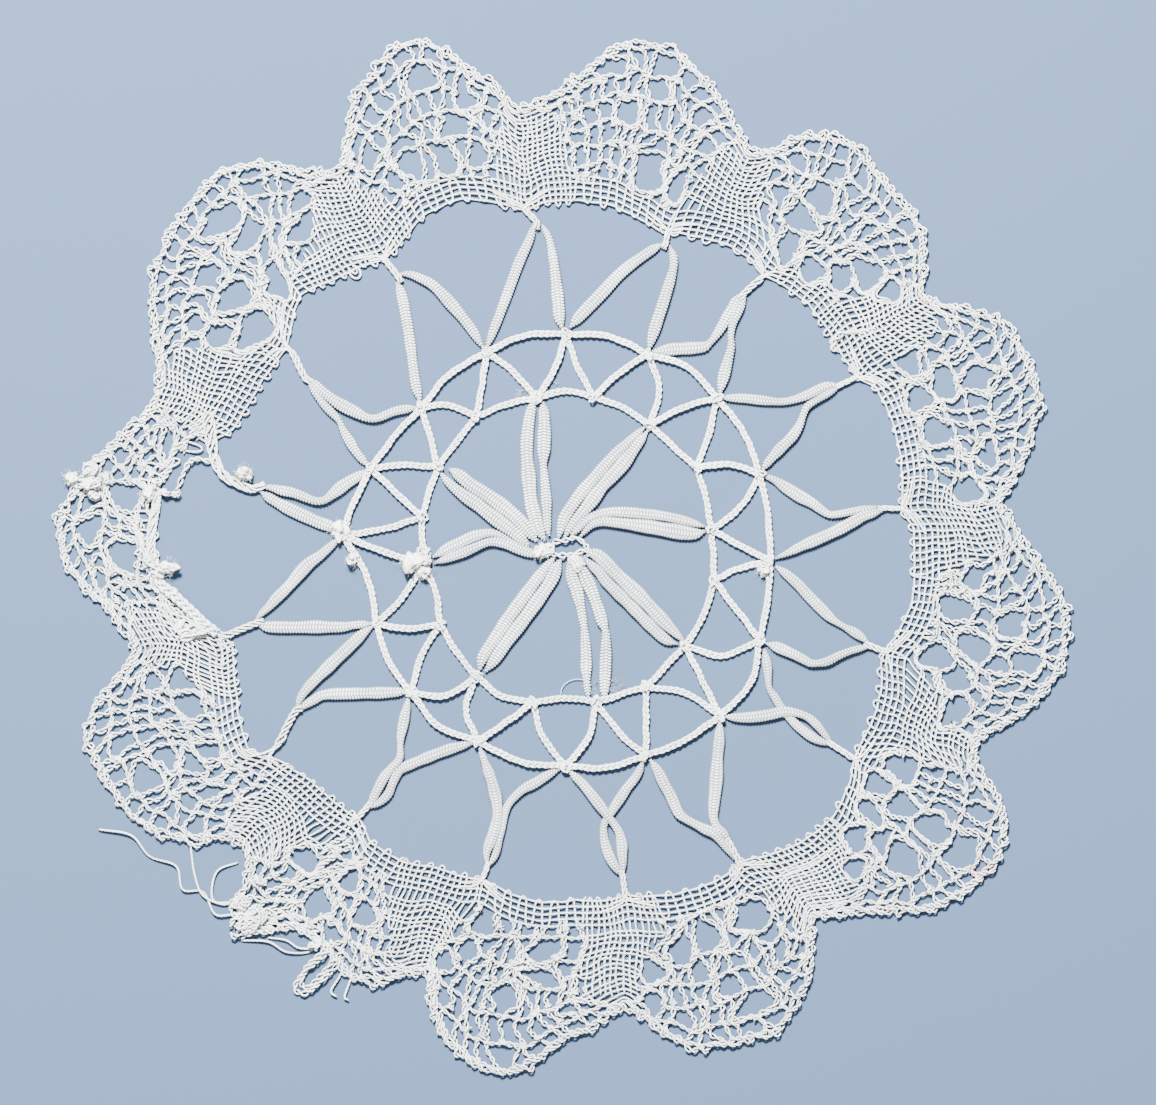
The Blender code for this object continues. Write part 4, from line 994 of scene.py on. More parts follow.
star = {
    "plait": {"half": 0.3, "rise": 0.15, "pitch": 3.1, "radius": 0.165},
    "rest": 0.5,  # height of the plaits' middle
    "over": 0.1,  # how much higher or lower one plait lies than the next
    "wander": 0.08,
    "join": (1.7, 1.5, 1.2, 3.4),  # a tangle's width, height and crest, and its turns
    "joinRadius": 0.16,
    # ring bows are positive outwards, tie bows positive clockwise: (outer bearing, outer radius, outer bow,
    # inner bearing, inner radius, inner bow, tie back bow, tie on bow)
    "plaits": [
        (0.3, 27.3, 1.0, 349.5, 19.5, 0.8, 0.5, -0.4),
        (23.1, 26.9, 1.3, 10.8, 19.7, 0.4, -0.4, 1.3),
        (45.2, 27.2, 0.8, 34.4, 19.1, 0.0, -0.5, 0.3),
        (69.0, 26.5, 0.4, 58.3, 19.6, 0.3, -0.9, 0.9),
        (93.4, 26.1, 0.3, 82.6, 18.7, 0.1, 0.0, -0.4),
        (115.0, 27.3, 1.5, 101.8, 19.3, 0.6, 0.0, 1.6),
        (137.1, 28.9, 0.6, 128.9, 19.6, 0.0, 0.0, -1.1),
        (158.6, 28.2, 0.8, 149.6, 20.3, 0.0, 0.0, 0.5),
        (179.7, 27.6, 1.0, 168.5, 19.8, -0.5, -1.0, 0.9),
        (204.4, 26.8, 1.4, 191.8, 19.9, 0.9, -0.1, 1.4),
        (227.1, 26.7, 0.8, 215.0, 19.7, 0.3, -1.5, 0.6),
        (248.3, 25.7, -1.0, 239.0, 18.5, -0.5, -0.6, -0.5),
        (273.6, 28.3, 0.3, 264.3, 18.0, 0.1, -0.3, -0.4),
        (292.4, 26.7, 0.3, 282.6, 18.6, 0.1, 0.0, 0.4),
        (314.8, 25.6, 0.9, 302.8, 19.2, 0.1, 0.0, 0.8),
        (338.4, 26.9, 1.0, 326.3, 20.2, 0.4, 0.0, 0.4),
    ],
    # leaves of the heart, as bearing, radius and width at each bend
    "heartLeaves": [
        [(348.0, 19.3, 1.1), (344.4, 17.0, 1.5), (339.3, 13.8, 1.6), (334.0, 10.6, 1.8), (324.7, 7.5, 1.8),
         (318.5, 5.9, 1.8), (307.9, 4.3, 1.5), (294.2, 2.8, 1.0)],
        [(351.3, 18.9, 1.0), (350.9, 16.6, 1.6), (348.2, 13.2, 1.7), (345.8, 11.3, 1.0), (344.2, 9.6, 1.1),
         (338.7, 6.5, 1.3), (321.5, 3.6, 1.0), (310.0, 2.6, 0.8)],
        [(33.1, 18.5, 0.8), (27.7, 13.5, 1.4), (22.3, 9.8, 1.5), (15.9, 7.4, 1.6), (5.9, 5.0, 1.5),
         (358.1, 3.9, 1.5), (346.7, 2.5, 1.1), (328.7, 1.6, 0.8)],
        [(35.0, 18.3, 0.8), (34.2, 13.1, 1.8), (31.0, 9.4, 1.6), (28.6, 6.8, 1.7), (23.7, 4.6, 1.4),
         (16.7, 3.3, 1.1), (357.5, 1.5, 0.8)],
        [(81.2, 18.2, 0.5), (79.8, 17.3, 0.8), (76.2, 15.4, 1.2), (72.0, 13.4, 1.3), (66.8, 11.3, 1.4),
         (51.3, 7.5, 1.3), (38.9, 5.1, 1.0), (29.7, 2.6, 1.0), (24.8, 1.8, 0.8)],
        [(82.6, 18.1, 0.5), (83.3, 16.7, 1.5), (82.0, 15.1, 1.9), (79.0, 12.9, 1.9), (74.7, 10.8, 1.7),
         (59.8, 6.8, 1.3), (52.4, 5.6, 1.1), (48.0, 4.3, 0.8), (51.8, 2.3, 0.6)],
        [(127.6, 19.2, 0.6), (127.5, 18.3, 1.0), (126.0, 15.3, 1.7), (122.4, 11.5, 1.9), (115.4, 7.2, 1.8),
         (103.0, 4.6, 1.7), (97.7, 3.3, 1.3), (94.3, 2.5, 0.9)],
        [(130.2, 18.7, 0.6), (131.9, 17.3, 1.3), (132.1, 15.2, 1.5), (131.0, 11.3, 1.5), (128.4, 6.8, 1.5),
         (124.1, 5.3, 1.3), (121.7, 4.1, 1.1), (111.5, 2.5, 0.6)],
        [(167.0, 1.7, 1.1), (166.1, 4.1, 1.6), (164.3, 5.5, 1.6), (165.2, 7.9, 1.3), (166.3, 10.2, 0.9),
         (167.1, 11.3, 1.1), (168.7, 13.6, 1.5), (169.9, 15.2, 1.5), (170.7, 17.0, 0.9), (171.1, 19.3, 0.8)],
        [(132.9, 2.4, 1.1), (144.8, 4.8, 1.7), (147.3, 6.3, 1.6), (150.9, 8.7, 1.6), (152.9, 10.4, 1.4),
         (153.4, 11.3, 0.9), (154.8, 12.2, 1.1), (158.8, 14.3, 1.5), (161.9, 16.4, 1.5), (165.4, 19.7, 1.0)],
        [(231.5, 1.7, 0.9), (226.1, 3.3, 1.2), (223.0, 5.3, 1.5), (219.9, 10.1, 1.7), (218.3, 14.1, 1.6),
         (217.4, 17.1, 1.4), (215.2, 18.8, 0.9)],
        [(201.8, 1.4, 1.0), (204.9, 2.7, 1.5), (204.6, 4.8, 1.7), (210.2, 10.2, 1.7), (212.1, 14.1, 1.6),
         (212.5, 16.6, 1.4), (213.0, 18.6, 0.8)],
        [(266.5, 16.8, 0.8), (269.8, 15.1, 1.4), (273.9, 13.2, 1.5), (277.7, 11.8, 1.5),
         (280.5, 10.6, 1.2), (282.5, 9.4, 1.0), (280.9, 7.8, 0.7), (275.2, 6.2, 0.6), (266.7, 4.5, 0.8),
         (256.5, 3.3, 0.8)],
        [(263.7, 16.8, 0.5), (265.2, 15.2, 1.0), (267.5, 13.2, 1.3), (270.6, 11.6, 1.2),
         (273.9, 10.3, 1.1), (275.9, 9.2, 1.1), (274.8, 7.6, 1.2), (270.0, 6.2, 1.1), (263.1, 4.7, 1.0),
         (254.4, 3.3, 0.8)],
        [(304.7, 17.9, 1.0), (305.0, 16.6, 1.5), (304.4, 14.4, 1.7), (304.8, 12.3, 1.8), (304.0, 8.2, 1.9),
         (298.7, 5.7, 1.7), (285.0, 3.7, 1.0)],
        [(301.6, 18.6, 0.8), (299.6, 16.9, 1.1), (298.0, 14.6, 1.5), (297.0, 12.5, 1.7),
         (294.4, 10.3, 1.8), (287.9, 6.8, 1.6), (274.8, 4.6, 1.1)],
    ],
    # where two leaves of the wreath meet and their threads go on as a stalk, and where the stalk parts:
    # (bearing, radius, stalk width, bearing and radius of its end). The two leaves at 281 degrees have
    # none: the drawn-out footing holds them.
    "points": [
        (18.2, 41.0, 0.8, 17.9, 42.4),
        (35.0, 39.5, 0.9, 35.9, 42.7),
        (59.2, 40.8, 0.7, 59.5, 42.9),
        (82.7, 40.9, 0.7, 83.2, 43.0),
        (107.6, 40.7, 0.9, 107.8, 42.8),
        (126.2, 42.0, 0.8, 125.9, 45.4),
        (150.8, 42.9, 0.9, 150.9, 45.7),
        (170.0, 42.2, 0.8, 170.2, 44.9),
        (193.8, 41.7, 0.7, 194.0, 43.2),
        (217.5, 41.4, 0.8, 217.7, 44.2),
        (238.9, 39.9, 1.1, 235.6, 44.4),
        (256.5, 40.2, 1.0, 255.6, 45.0),
        (303.4, 39.4, 1.0, 305.9, 42.9),
        (328.5, 40.6, 0.9, 328.2, 43.2),
        (355.0, 41.6, 0.9, 353.2, 43.6),
    ],
    # leaves of the wreath, from a point in to the outer ring
    "wreathLeaves": [
        [(354.6, 41.5, 0.8), (353.4, 39.5, 1.1), (351.0, 37.0, 1.4), (348.1, 34.0, 1.3),
         (344.8, 31.2, 1.3), (341.0, 28.7, 1.0), (338.7, 27.4, 0.8)],
        [(355.9, 41.3, 0.9), (357.1, 39.3, 0.9), (357.9, 35.4, 1.3), (358.4, 31.3, 1.6),
         (358.6, 29.4, 1.4), (359.3, 27.9, 0.8)],
        [(17.8, 40.7, 0.8), (16.0, 39.4, 1.2), (11.7, 36.0, 1.5), (7.9, 32.6, 1.6), (3.4, 29.5, 1.5),
         (1.3, 28.1, 0.8)],
        [(19.0, 40.8, 0.6), (20.3, 39.6, 1.0), (21.1, 38.1, 1.1), (21.6, 34.6, 1.5), (22.0, 31.2, 1.5),
         (22.3, 29.3, 1.3), (22.8, 27.4, 0.8)],
        [(34.6, 39.3, 1.0), (34.6, 38.5, 1.4), (35.0, 35.6, 1.4), (35.2, 33.5, 1.1), (35.0, 31.9, 0.9),
         (34.0, 30.9, 1.5), (28.2, 28.8, 1.6), (25.5, 27.9, 1.1), (23.9, 27.4, 0.8)],
        [(35.6, 39.3, 1.0), (35.9, 37.4, 1.4), (36.7, 35.6, 1.0), (38.0, 34.2, 0.8), (39.5, 33.1, 1.0),
         (42.2, 30.1, 1.5), (45.0, 27.7, 0.8)],
        [(59.1, 40.7, 0.6), (58.0, 39.0, 1.1), (57.6, 36.7, 1.3), (56.9, 34.8, 1.0),
         (55.6, 33.1, 1.0), (51.8, 30.7, 1.3), (49.7, 29.6, 1.2), (45.7, 27.5, 0.8)],
        [(59.4, 40.6, 0.5), (59.4, 39.2, 0.9), (59.4, 37.1, 0.9), (59.5, 35.7, 0.9), (60.6, 34.7, 0.9),
         (62.2, 33.6, 1.1), (63.7, 32.1, 1.4), (65.0, 30.1, 1.4), (67.0, 27.9, 1.1), (68.3, 27.0, 0.8)],
        [(82.3, 40.6, 0.5), (82.4, 38.2, 0.9), (82.7, 35.2, 1.0), (82.6, 33.9, 1.0),
         (81.6, 33.1, 1.1), (79.6, 32.0, 1.4), (77.4, 30.6, 1.6), (74.4, 29.1, 1.5), (71.5, 27.9, 1.0),
         (69.6, 26.7, 0.8)],
        [(83.1, 40.9, 0.5), (83.3, 39.5, 1.1), (83.7, 38.1, 1.4), (85.0, 36.2, 1.5),
         (86.5, 34.0, 1.5), (87.9, 31.9, 1.5), (89.5, 29.8, 1.3), (90.8, 28.5, 0.9), (92.6, 26.7, 0.6)],
        [(107.3, 40.5, 0.6), (106.5, 39.2, 1.1), (106.0, 38.1, 1.2), (105.5, 36.7, 0.8),
         (104.9, 35.4, 1.0), (104.0, 34.3, 1.4), (101.0, 31.6, 1.5), (98.7, 30.0, 1.4), (96.6, 28.4, 1.2),
         (94.6, 26.8, 0.9)],
        [(107.9, 40.6, 0.6), (108.4, 39.8, 0.8), (109.4, 38.7, 1.0), (111.1, 37.4, 1.1),
         (113.2, 36.2, 1.1), (114.3, 35.2, 0.9), (114.9, 34.4, 1.1), (114.8, 33.4, 1.3),
         (114.7, 31.6, 1.3), (114.8, 29.6, 1.4), (115.1, 28.2, 0.8)],
        [(126.4, 41.9, 0.7), (127.2, 39.8, 1.2), (127.3, 37.5, 1.2),
         (127.0, 35.9, 1.1), (126.1, 33.8, 1.1), (125.2, 32.6, 1.1), (124.3, 31.4, 0.8),
         (122.3, 30.5, 1.0), (120.2, 29.7, 1.3), (116.6, 28.3, 0.8)],
        [(126.1, 41.9, 0.6), (125.7, 41.0, 0.9), (124.9, 38.9, 1.1),
         (124.7, 37.4, 1.0), (125.3, 36.0, 1.1), (126.6, 34.6, 1.4), (129.0, 33.4, 1.4),
         (132.0, 31.9, 1.5), (134.7, 30.4, 1.1), (136.5, 29.3, 0.8)],
        [(150.6, 42.6, 0.6), (150.8, 41.5, 1.1), (151.3, 40.2, 1.1), (151.1, 39.0, 1.2),
         (150.1, 37.8, 1.5), (148.6, 36.5, 1.6), (146.4, 34.7, 1.7), (144.0, 32.9, 1.6),
         (141.2, 31.2, 1.4), (137.8, 29.3, 0.8)],
        [(151.5, 44.8, 0.5), (151.6, 43.5, 0.8), (152.2, 40.9, 1.3), (153.5, 39.7, 1.3),
         (154.8, 38.5, 1.1), (156.0, 37.4, 1.1), (156.7, 36.4, 1.4), (156.8, 33.9, 1.5),
         (157.1, 32.3, 1.5), (157.3, 30.6, 1.4), (158.0, 28.8, 0.8)],
        [(170.0, 42.2, 0.7), (170.7, 41.3, 1.1), (171.6, 39.8, 1.4), (172.1, 38.4, 1.3),
         (172.3, 36.8, 1.1), (172.0, 35.4, 1.0), (170.8, 34.4, 1.1), (167.5, 32.4, 1.3),
         (165.4, 31.3, 1.3), (162.5, 30.2, 1.2), (159.7, 28.7, 0.8)],
        [(169.9, 42.0, 0.6), (169.6, 40.8, 1.0), (169.4, 39.4, 1.3), (169.1, 38.0, 1.5),
         (169.2, 36.6, 1.1), (169.9, 35.4, 1.0), (171.0, 34.3, 1.1), (172.0, 33.1, 1.4),
         (175.4, 30.1, 1.3), (177.5, 28.9, 1.1), (179.0, 28.1, 0.8)],
        [(193.6, 41.6, 0.5), (192.8, 39.7, 0.9), (192.7, 36.9, 0.9), (192.8, 34.1, 1.0),
         (192.2, 32.8, 1.0), (191.0, 31.7, 1.1), (189.6, 30.8, 1.3), (187.2, 29.9, 1.3),
         (184.7, 28.9, 1.2), (181.3, 27.9, 0.8)],
        [(193.8, 41.6, 0.5), (194.5, 39.7, 1.0), (194.3, 38.3, 1.5), (194.1, 36.6, 1.5),
         (194.2, 35.0, 1.3), (195.0, 33.5, 1.5), (196.5, 31.8, 1.6), (198.5, 30.2, 1.4),
         (200.6, 28.9, 1.1), (203.3, 27.4, 0.8)],
        [(217.2, 41.3, 0.6), (216.2, 39.9, 1.0), (215.8, 38.4, 1.1), (216.3, 37.0, 1.1),
         (216.8, 35.6, 1.3), (216.6, 34.7, 1.3), (214.4, 32.5, 1.4), (212.4, 30.9, 1.5),
         (210.1, 29.4, 1.4), (207.7, 28.2, 1.1), (205.2, 27.2, 0.8)],
        [(217.6, 41.3, 0.6), (217.3, 40.6, 1.0), (217.7, 39.6, 1.2), (218.4, 37.1, 1.3),
         (218.4, 35.7, 1.1), (218.3, 33.9, 1.0), (220.1, 32.5, 0.9), (221.4, 31.5, 1.1),
         (223.7, 29.5, 1.4), (224.9, 28.5, 1.1), (226.6, 27.3, 0.8)],
        [(238.7, 39.6, 0.8), (239.0, 38.5, 1.0), (239.0, 37.2, 1.2), (238.8, 35.7, 1.4),
         (235.9, 32.7, 1.5), (232.1, 29.7, 1.5), (229.9, 28.2, 1.3), (227.8, 26.9, 0.9)],
        [(239.3, 39.6, 0.8), (240.5, 38.7, 1.0), (241.4, 37.6, 1.2), (242.2, 36.2, 1.4),
         (244.1, 32.6, 1.6), (246.4, 29.0, 1.5), (247.4, 27.6, 1.1), (248.1, 26.3, 0.9)],
        [(256.2, 40.1, 0.9), (255.4, 39.1, 1.5), (253.8, 35.6, 1.5), (252.9, 33.6, 1.7),
         (250.8, 30.1, 1.3), (250.2, 28.5, 1.1), (248.8, 26.2, 0.8)],
        [(257.1, 40.3, 0.8), (258.1, 39.3, 0.9), (259.0, 38.3, 1.1), (260.3, 37.2, 1.4),
         (262.1, 35.6, 1.5), (266.3, 32.9, 1.6), (268.4, 31.2, 1.4), (271.0, 29.6, 1.0), (272.9, 28.7, 0.9)],
        [(280.7, 39.4, 0.6), (279.9, 38.2, 1.2), (279.0, 36.7, 1.4), (278.1, 35.0, 1.6),
         (276.3, 31.6, 1.6), (275.7, 30.2, 1.5), (274.8, 28.8, 1.4)],
        [(281.6, 39.3, 0.8), (281.8, 38.2, 0.9), (281.7, 36.8, 1.2), (281.7, 35.1, 1.3),
         (281.3, 33.7, 1.2), (280.9, 32.2, 1.0), (281.6, 31.1, 1.0), (283.6, 30.2, 1.4),
         (286.2, 29.2, 1.7), (288.8, 28.1, 1.3), (291.6, 27.1, 0.9)],
        [(303.3, 39.1, 0.6), (302.0, 37.3, 0.9), (301.0, 35.8, 1.0), (300.3, 34.3, 1.0),
         (299.6, 33.0, 0.8), (298.1, 31.9, 1.0), (296.5, 30.5, 1.3), (295.0, 29.3, 1.2), (292.8, 27.1, 0.8)],
        [(303.3, 39.2, 0.8), (303.5, 38.2, 1.0), (303.1, 36.7, 1.2), (302.8, 34.9, 1.4),
         (302.9, 33.3, 1.6), (303.2, 31.8, 1.5), (303.5, 30.3, 1.1), (304.8, 29.1, 1.0),
         (309.0, 27.8, 1.2), (312.1, 26.6, 1.0), (313.9, 25.9, 0.8)],
        [(327.8, 40.1, 0.8), (327.2, 38.3, 1.4), (324.4, 34.2, 1.4), (320.3, 30.2, 1.3),
         (317.9, 28.3, 1.3), (315.3, 26.1, 0.8)],
        [(328.8, 40.8, 0.8), (330.5, 40.1, 0.9), (332.1, 38.8, 1.1), (333.6, 37.2, 1.4),
         (335.4, 33.7, 1.5), (337.0, 30.3, 1.3), (337.5, 28.6, 0.9), (337.9, 27.6, 0.8)],
    ],
}


# a route of three knots that bows to the left of its direction
def bowed(start, end, bow):
    across = np.array((start[1] - end[1], end[0] - start[0]))
    across /= np.linalg.norm(across)
    return [start, (start + end) / 2 + across * bow, end]


# the plaits of both rings and the ties between them
def plaitRoutes():
    outer = [place(row[0], row[1]) for row in star["plaits"]]
    inner = [place(row[3], row[4]) for row in star["plaits"]]
    routes = []
    for i, row in enumerate(star["plaits"]):
        after = (i + 1) % len(outer)
        routes.append(bowed(outer[i], outer[after], row[2]))
        routes.append(bowed(inner[i], inner[after], row[5]))
        routes.append(bowed(inner[i], outer[i], -row[6]))
        routes.append(bowed(inner[after], outer[i], -row[7]))
    return routes, outer, inner


plaitStrands = []
routes, outerJoins, innerJoins = plaitRoutes()
for number, knots in enumerate(routes):
    line = evenSteps(curveThrough(knots), thread["step"])
    line = line + leftOf(line) * stray(lengthRun(line), star["wander"])[:, None]
    plaitStrands += braided(line, star["rest"] + star["over"] * (-1) ** number, star["plait"])
for join in outerJoins + innerJoins:
    plaitStrands.append(tangle(join, *star["join"], draws.uniform(0, 180), star["joinRadius"]))
print("plaits:", len(plaitStrands), "threads")

leaf = {
    "perGrain": 4,  # rings to a grain
    "around": 12,
    "thick": 0.56,
    "bulge": 0.06,  # how far a grain stands out
    "rest": 0.46,
    "over": 0.16,  # how much higher every second leaf runs between its ends
    "taper": 0.58,  # how much narrower and thinner it gets at its very ends
    "taperReach": 0.75,
    "wander": 0.08,  # of its width, as a share of it
    "squareness": (0.8, 0.7),  # powers of the section's cosine and sine; 1 is an oval, less is fuller
}


# A woven leaf: a full oval carried along its route, x = w cos a and z = t sin a, each to its power, with a
# grain standing out by bulge cos(2 pi (s / grain + shift)), s the run and the shift that of its column across
# the leaf. Both ends narrow by 1 - taper exp(-(distance / reach)^2).
def leafPiece(name, leaves, material):
    points, corners, maps, bakes, base = [], [], [], [], 0
    around = leaf["around"]
    j = np.arange(around)
    a = 2 * math.pi * j / around
    shift = np.floor((np.cos(a) + 1) / 2.002 * cotton["columns"]) % 2 * cotton["grainShift"]
    flatTurn, tallTurn = (
        np.sign(part) * np.abs(part) ** power
        for part, power in zip((np.cos(a), np.sin(a)), leaf["squareness"]))
    for number, knots in enumerate(leaves):
        knots = np.array(knots)
        line = curveThrough(np.column_stack([place(knots[:, 0], knots[:, 1]), knots[:, 2]]))
        line = softened(evenSteps(line, cotton["grain"] / leaf["perGrain"]), 3)
        run, left = lengthRun(line), leftOf(line)
        share = run / run[-1]
        toEnd = np.minimum(run, run[-1] - run)
        narrow = 1 - leaf["taper"] * np.exp(-((toEnd / leaf["taperReach"]) ** 2))
        half = line[:, 2] / 2 * (1 + stray(run, leaf["wander"])) * narrow
        swell = leaf["bulge"] * np.cos(2 * math.pi * (run[:, None] / cotton["grain"] + shift))
        across = (half[:, None] + swell) * flatTurn
        up = (leaf["thick"] / 2 * narrow[:, None] + swell) * tallTurn
        rest = leaf["rest"] + leaf["over"] * (number % 2) * np.sin(math.pi * share)
        rings = np.concatenate([
            line[:, None, :2] + left[:, None] * across[..., None], (rest[:, None] + up)[..., None]], axis=2)
        points.append(rings.reshape(-1, 3))
        corners.append(facesBetween(np.arange(len(line) - 1) * around + base, around))
        maps.append(cornerMap(run[:-1], run[1:], around))
        alongMap, turnMap = maps[-1].T
        bakes.append(np.column_stack([
            0.01 + 0.98 * alongMap / run[-1], (number + 0.05 + 0.9 * turnMap) / len(leaves)]))
        base += len(line) * around
    ends, offset = [], 0
    for ring in points:
        ends += [offset + j, offset + len(ring) - around + j[::-1]]
        offset += len(ring)
    cornerList = np.concatenate([np.vstack(corners).reshape(-1), *ends])
    sizes = np.concatenate([np.full(sum(map(len, corners)), 4), np.full(len(ends), around)])
    still = np.zeros((len(ends) * around, 2))
    uvs = {"OFBake": np.vstack([*bakes, still]), "threadMap": np.vstack([*maps, still])}
    return meshPiece(name, np.vstack(points), cornerList, sizes, uvs, material)


heartLeaves = leafPiece("heart_leaves", star["heartLeaves"], leafCotton)
wreathLeaves = leafPiece("wreath_leaves", star["wreathLeaves"], leafCotton)

stalk = {
    "enter": 1.3,  # degrees to the side where a thread bends into the footing
    "reach": 4.6,  # degrees to the side where it ends
    "depths": (0.5, 0.7, 1.5, 1.8),  # of the four threads in the footing, in mm
    "pitch": 3.6,
    "radius": 0.15,
    "off": 0.33,  # how far a thread stands off across the stalk and up, as shares of its width
    "rise": 0.2,
    "lift": 0.14,  # height of the stalk's middle over the footing's
}


# A stalk is four threads twisted together from the leaves' point to its own end. There they part, two to each
# side, and run on in the footing. In the stalk thread n stands off by the stalk's width times
# off hold cos(2 pi run / pitch + n pi / 2), where hold falls to nothing as the threads part.
def stalkThreads(row):
    bearing, radius, width, topBearing, topRadius = row
    strands = []
    middle = [place(bearing, radius - 0.9), place(bearing, radius + 0.1),
              place((bearing + topBearing) / 2, (radius + topRadius) / 2), place(topBearing, topRadius)]
    stalkLength = lengthRun(np.array(middle))[-1]
    for number, depth in enumerate(stalk["depths"]):
        toSide = (1 if number % 2 else -1) * (0.55 + 0.45 * (number // 2))
        near, far = topBearing + toSide * stalk["enter"], topBearing + toSide * stalk["reach"]
        entry = place(near, max(footAt(near) + depth * 0.6, topRadius + 0.3))
        line = evenSteps(curveThrough([*middle, entry, place(far, footAt(far) + depth)]), thread["step"])
        run = lengthRun(line)
        hold = np.clip((stalkLength + 0.8 - run) / 1.2, 0, 1)
        angle = 2 * math.pi * run / stalk["pitch"] + number * math.pi / 2
        line = line + leftOf(line) * (stalk["off"] * width * hold * np.cos(angle))[:, None]
        height = thread["rest"] + stalk["lift"] + stalk["rise"] * width * hold * np.sin(angle)
        strands.append((np.column_stack([line, height]), stalk["radius"]))
    return strands


stalkStrands = [strand for row in star["points"] for strand in stalkThreads(row)]


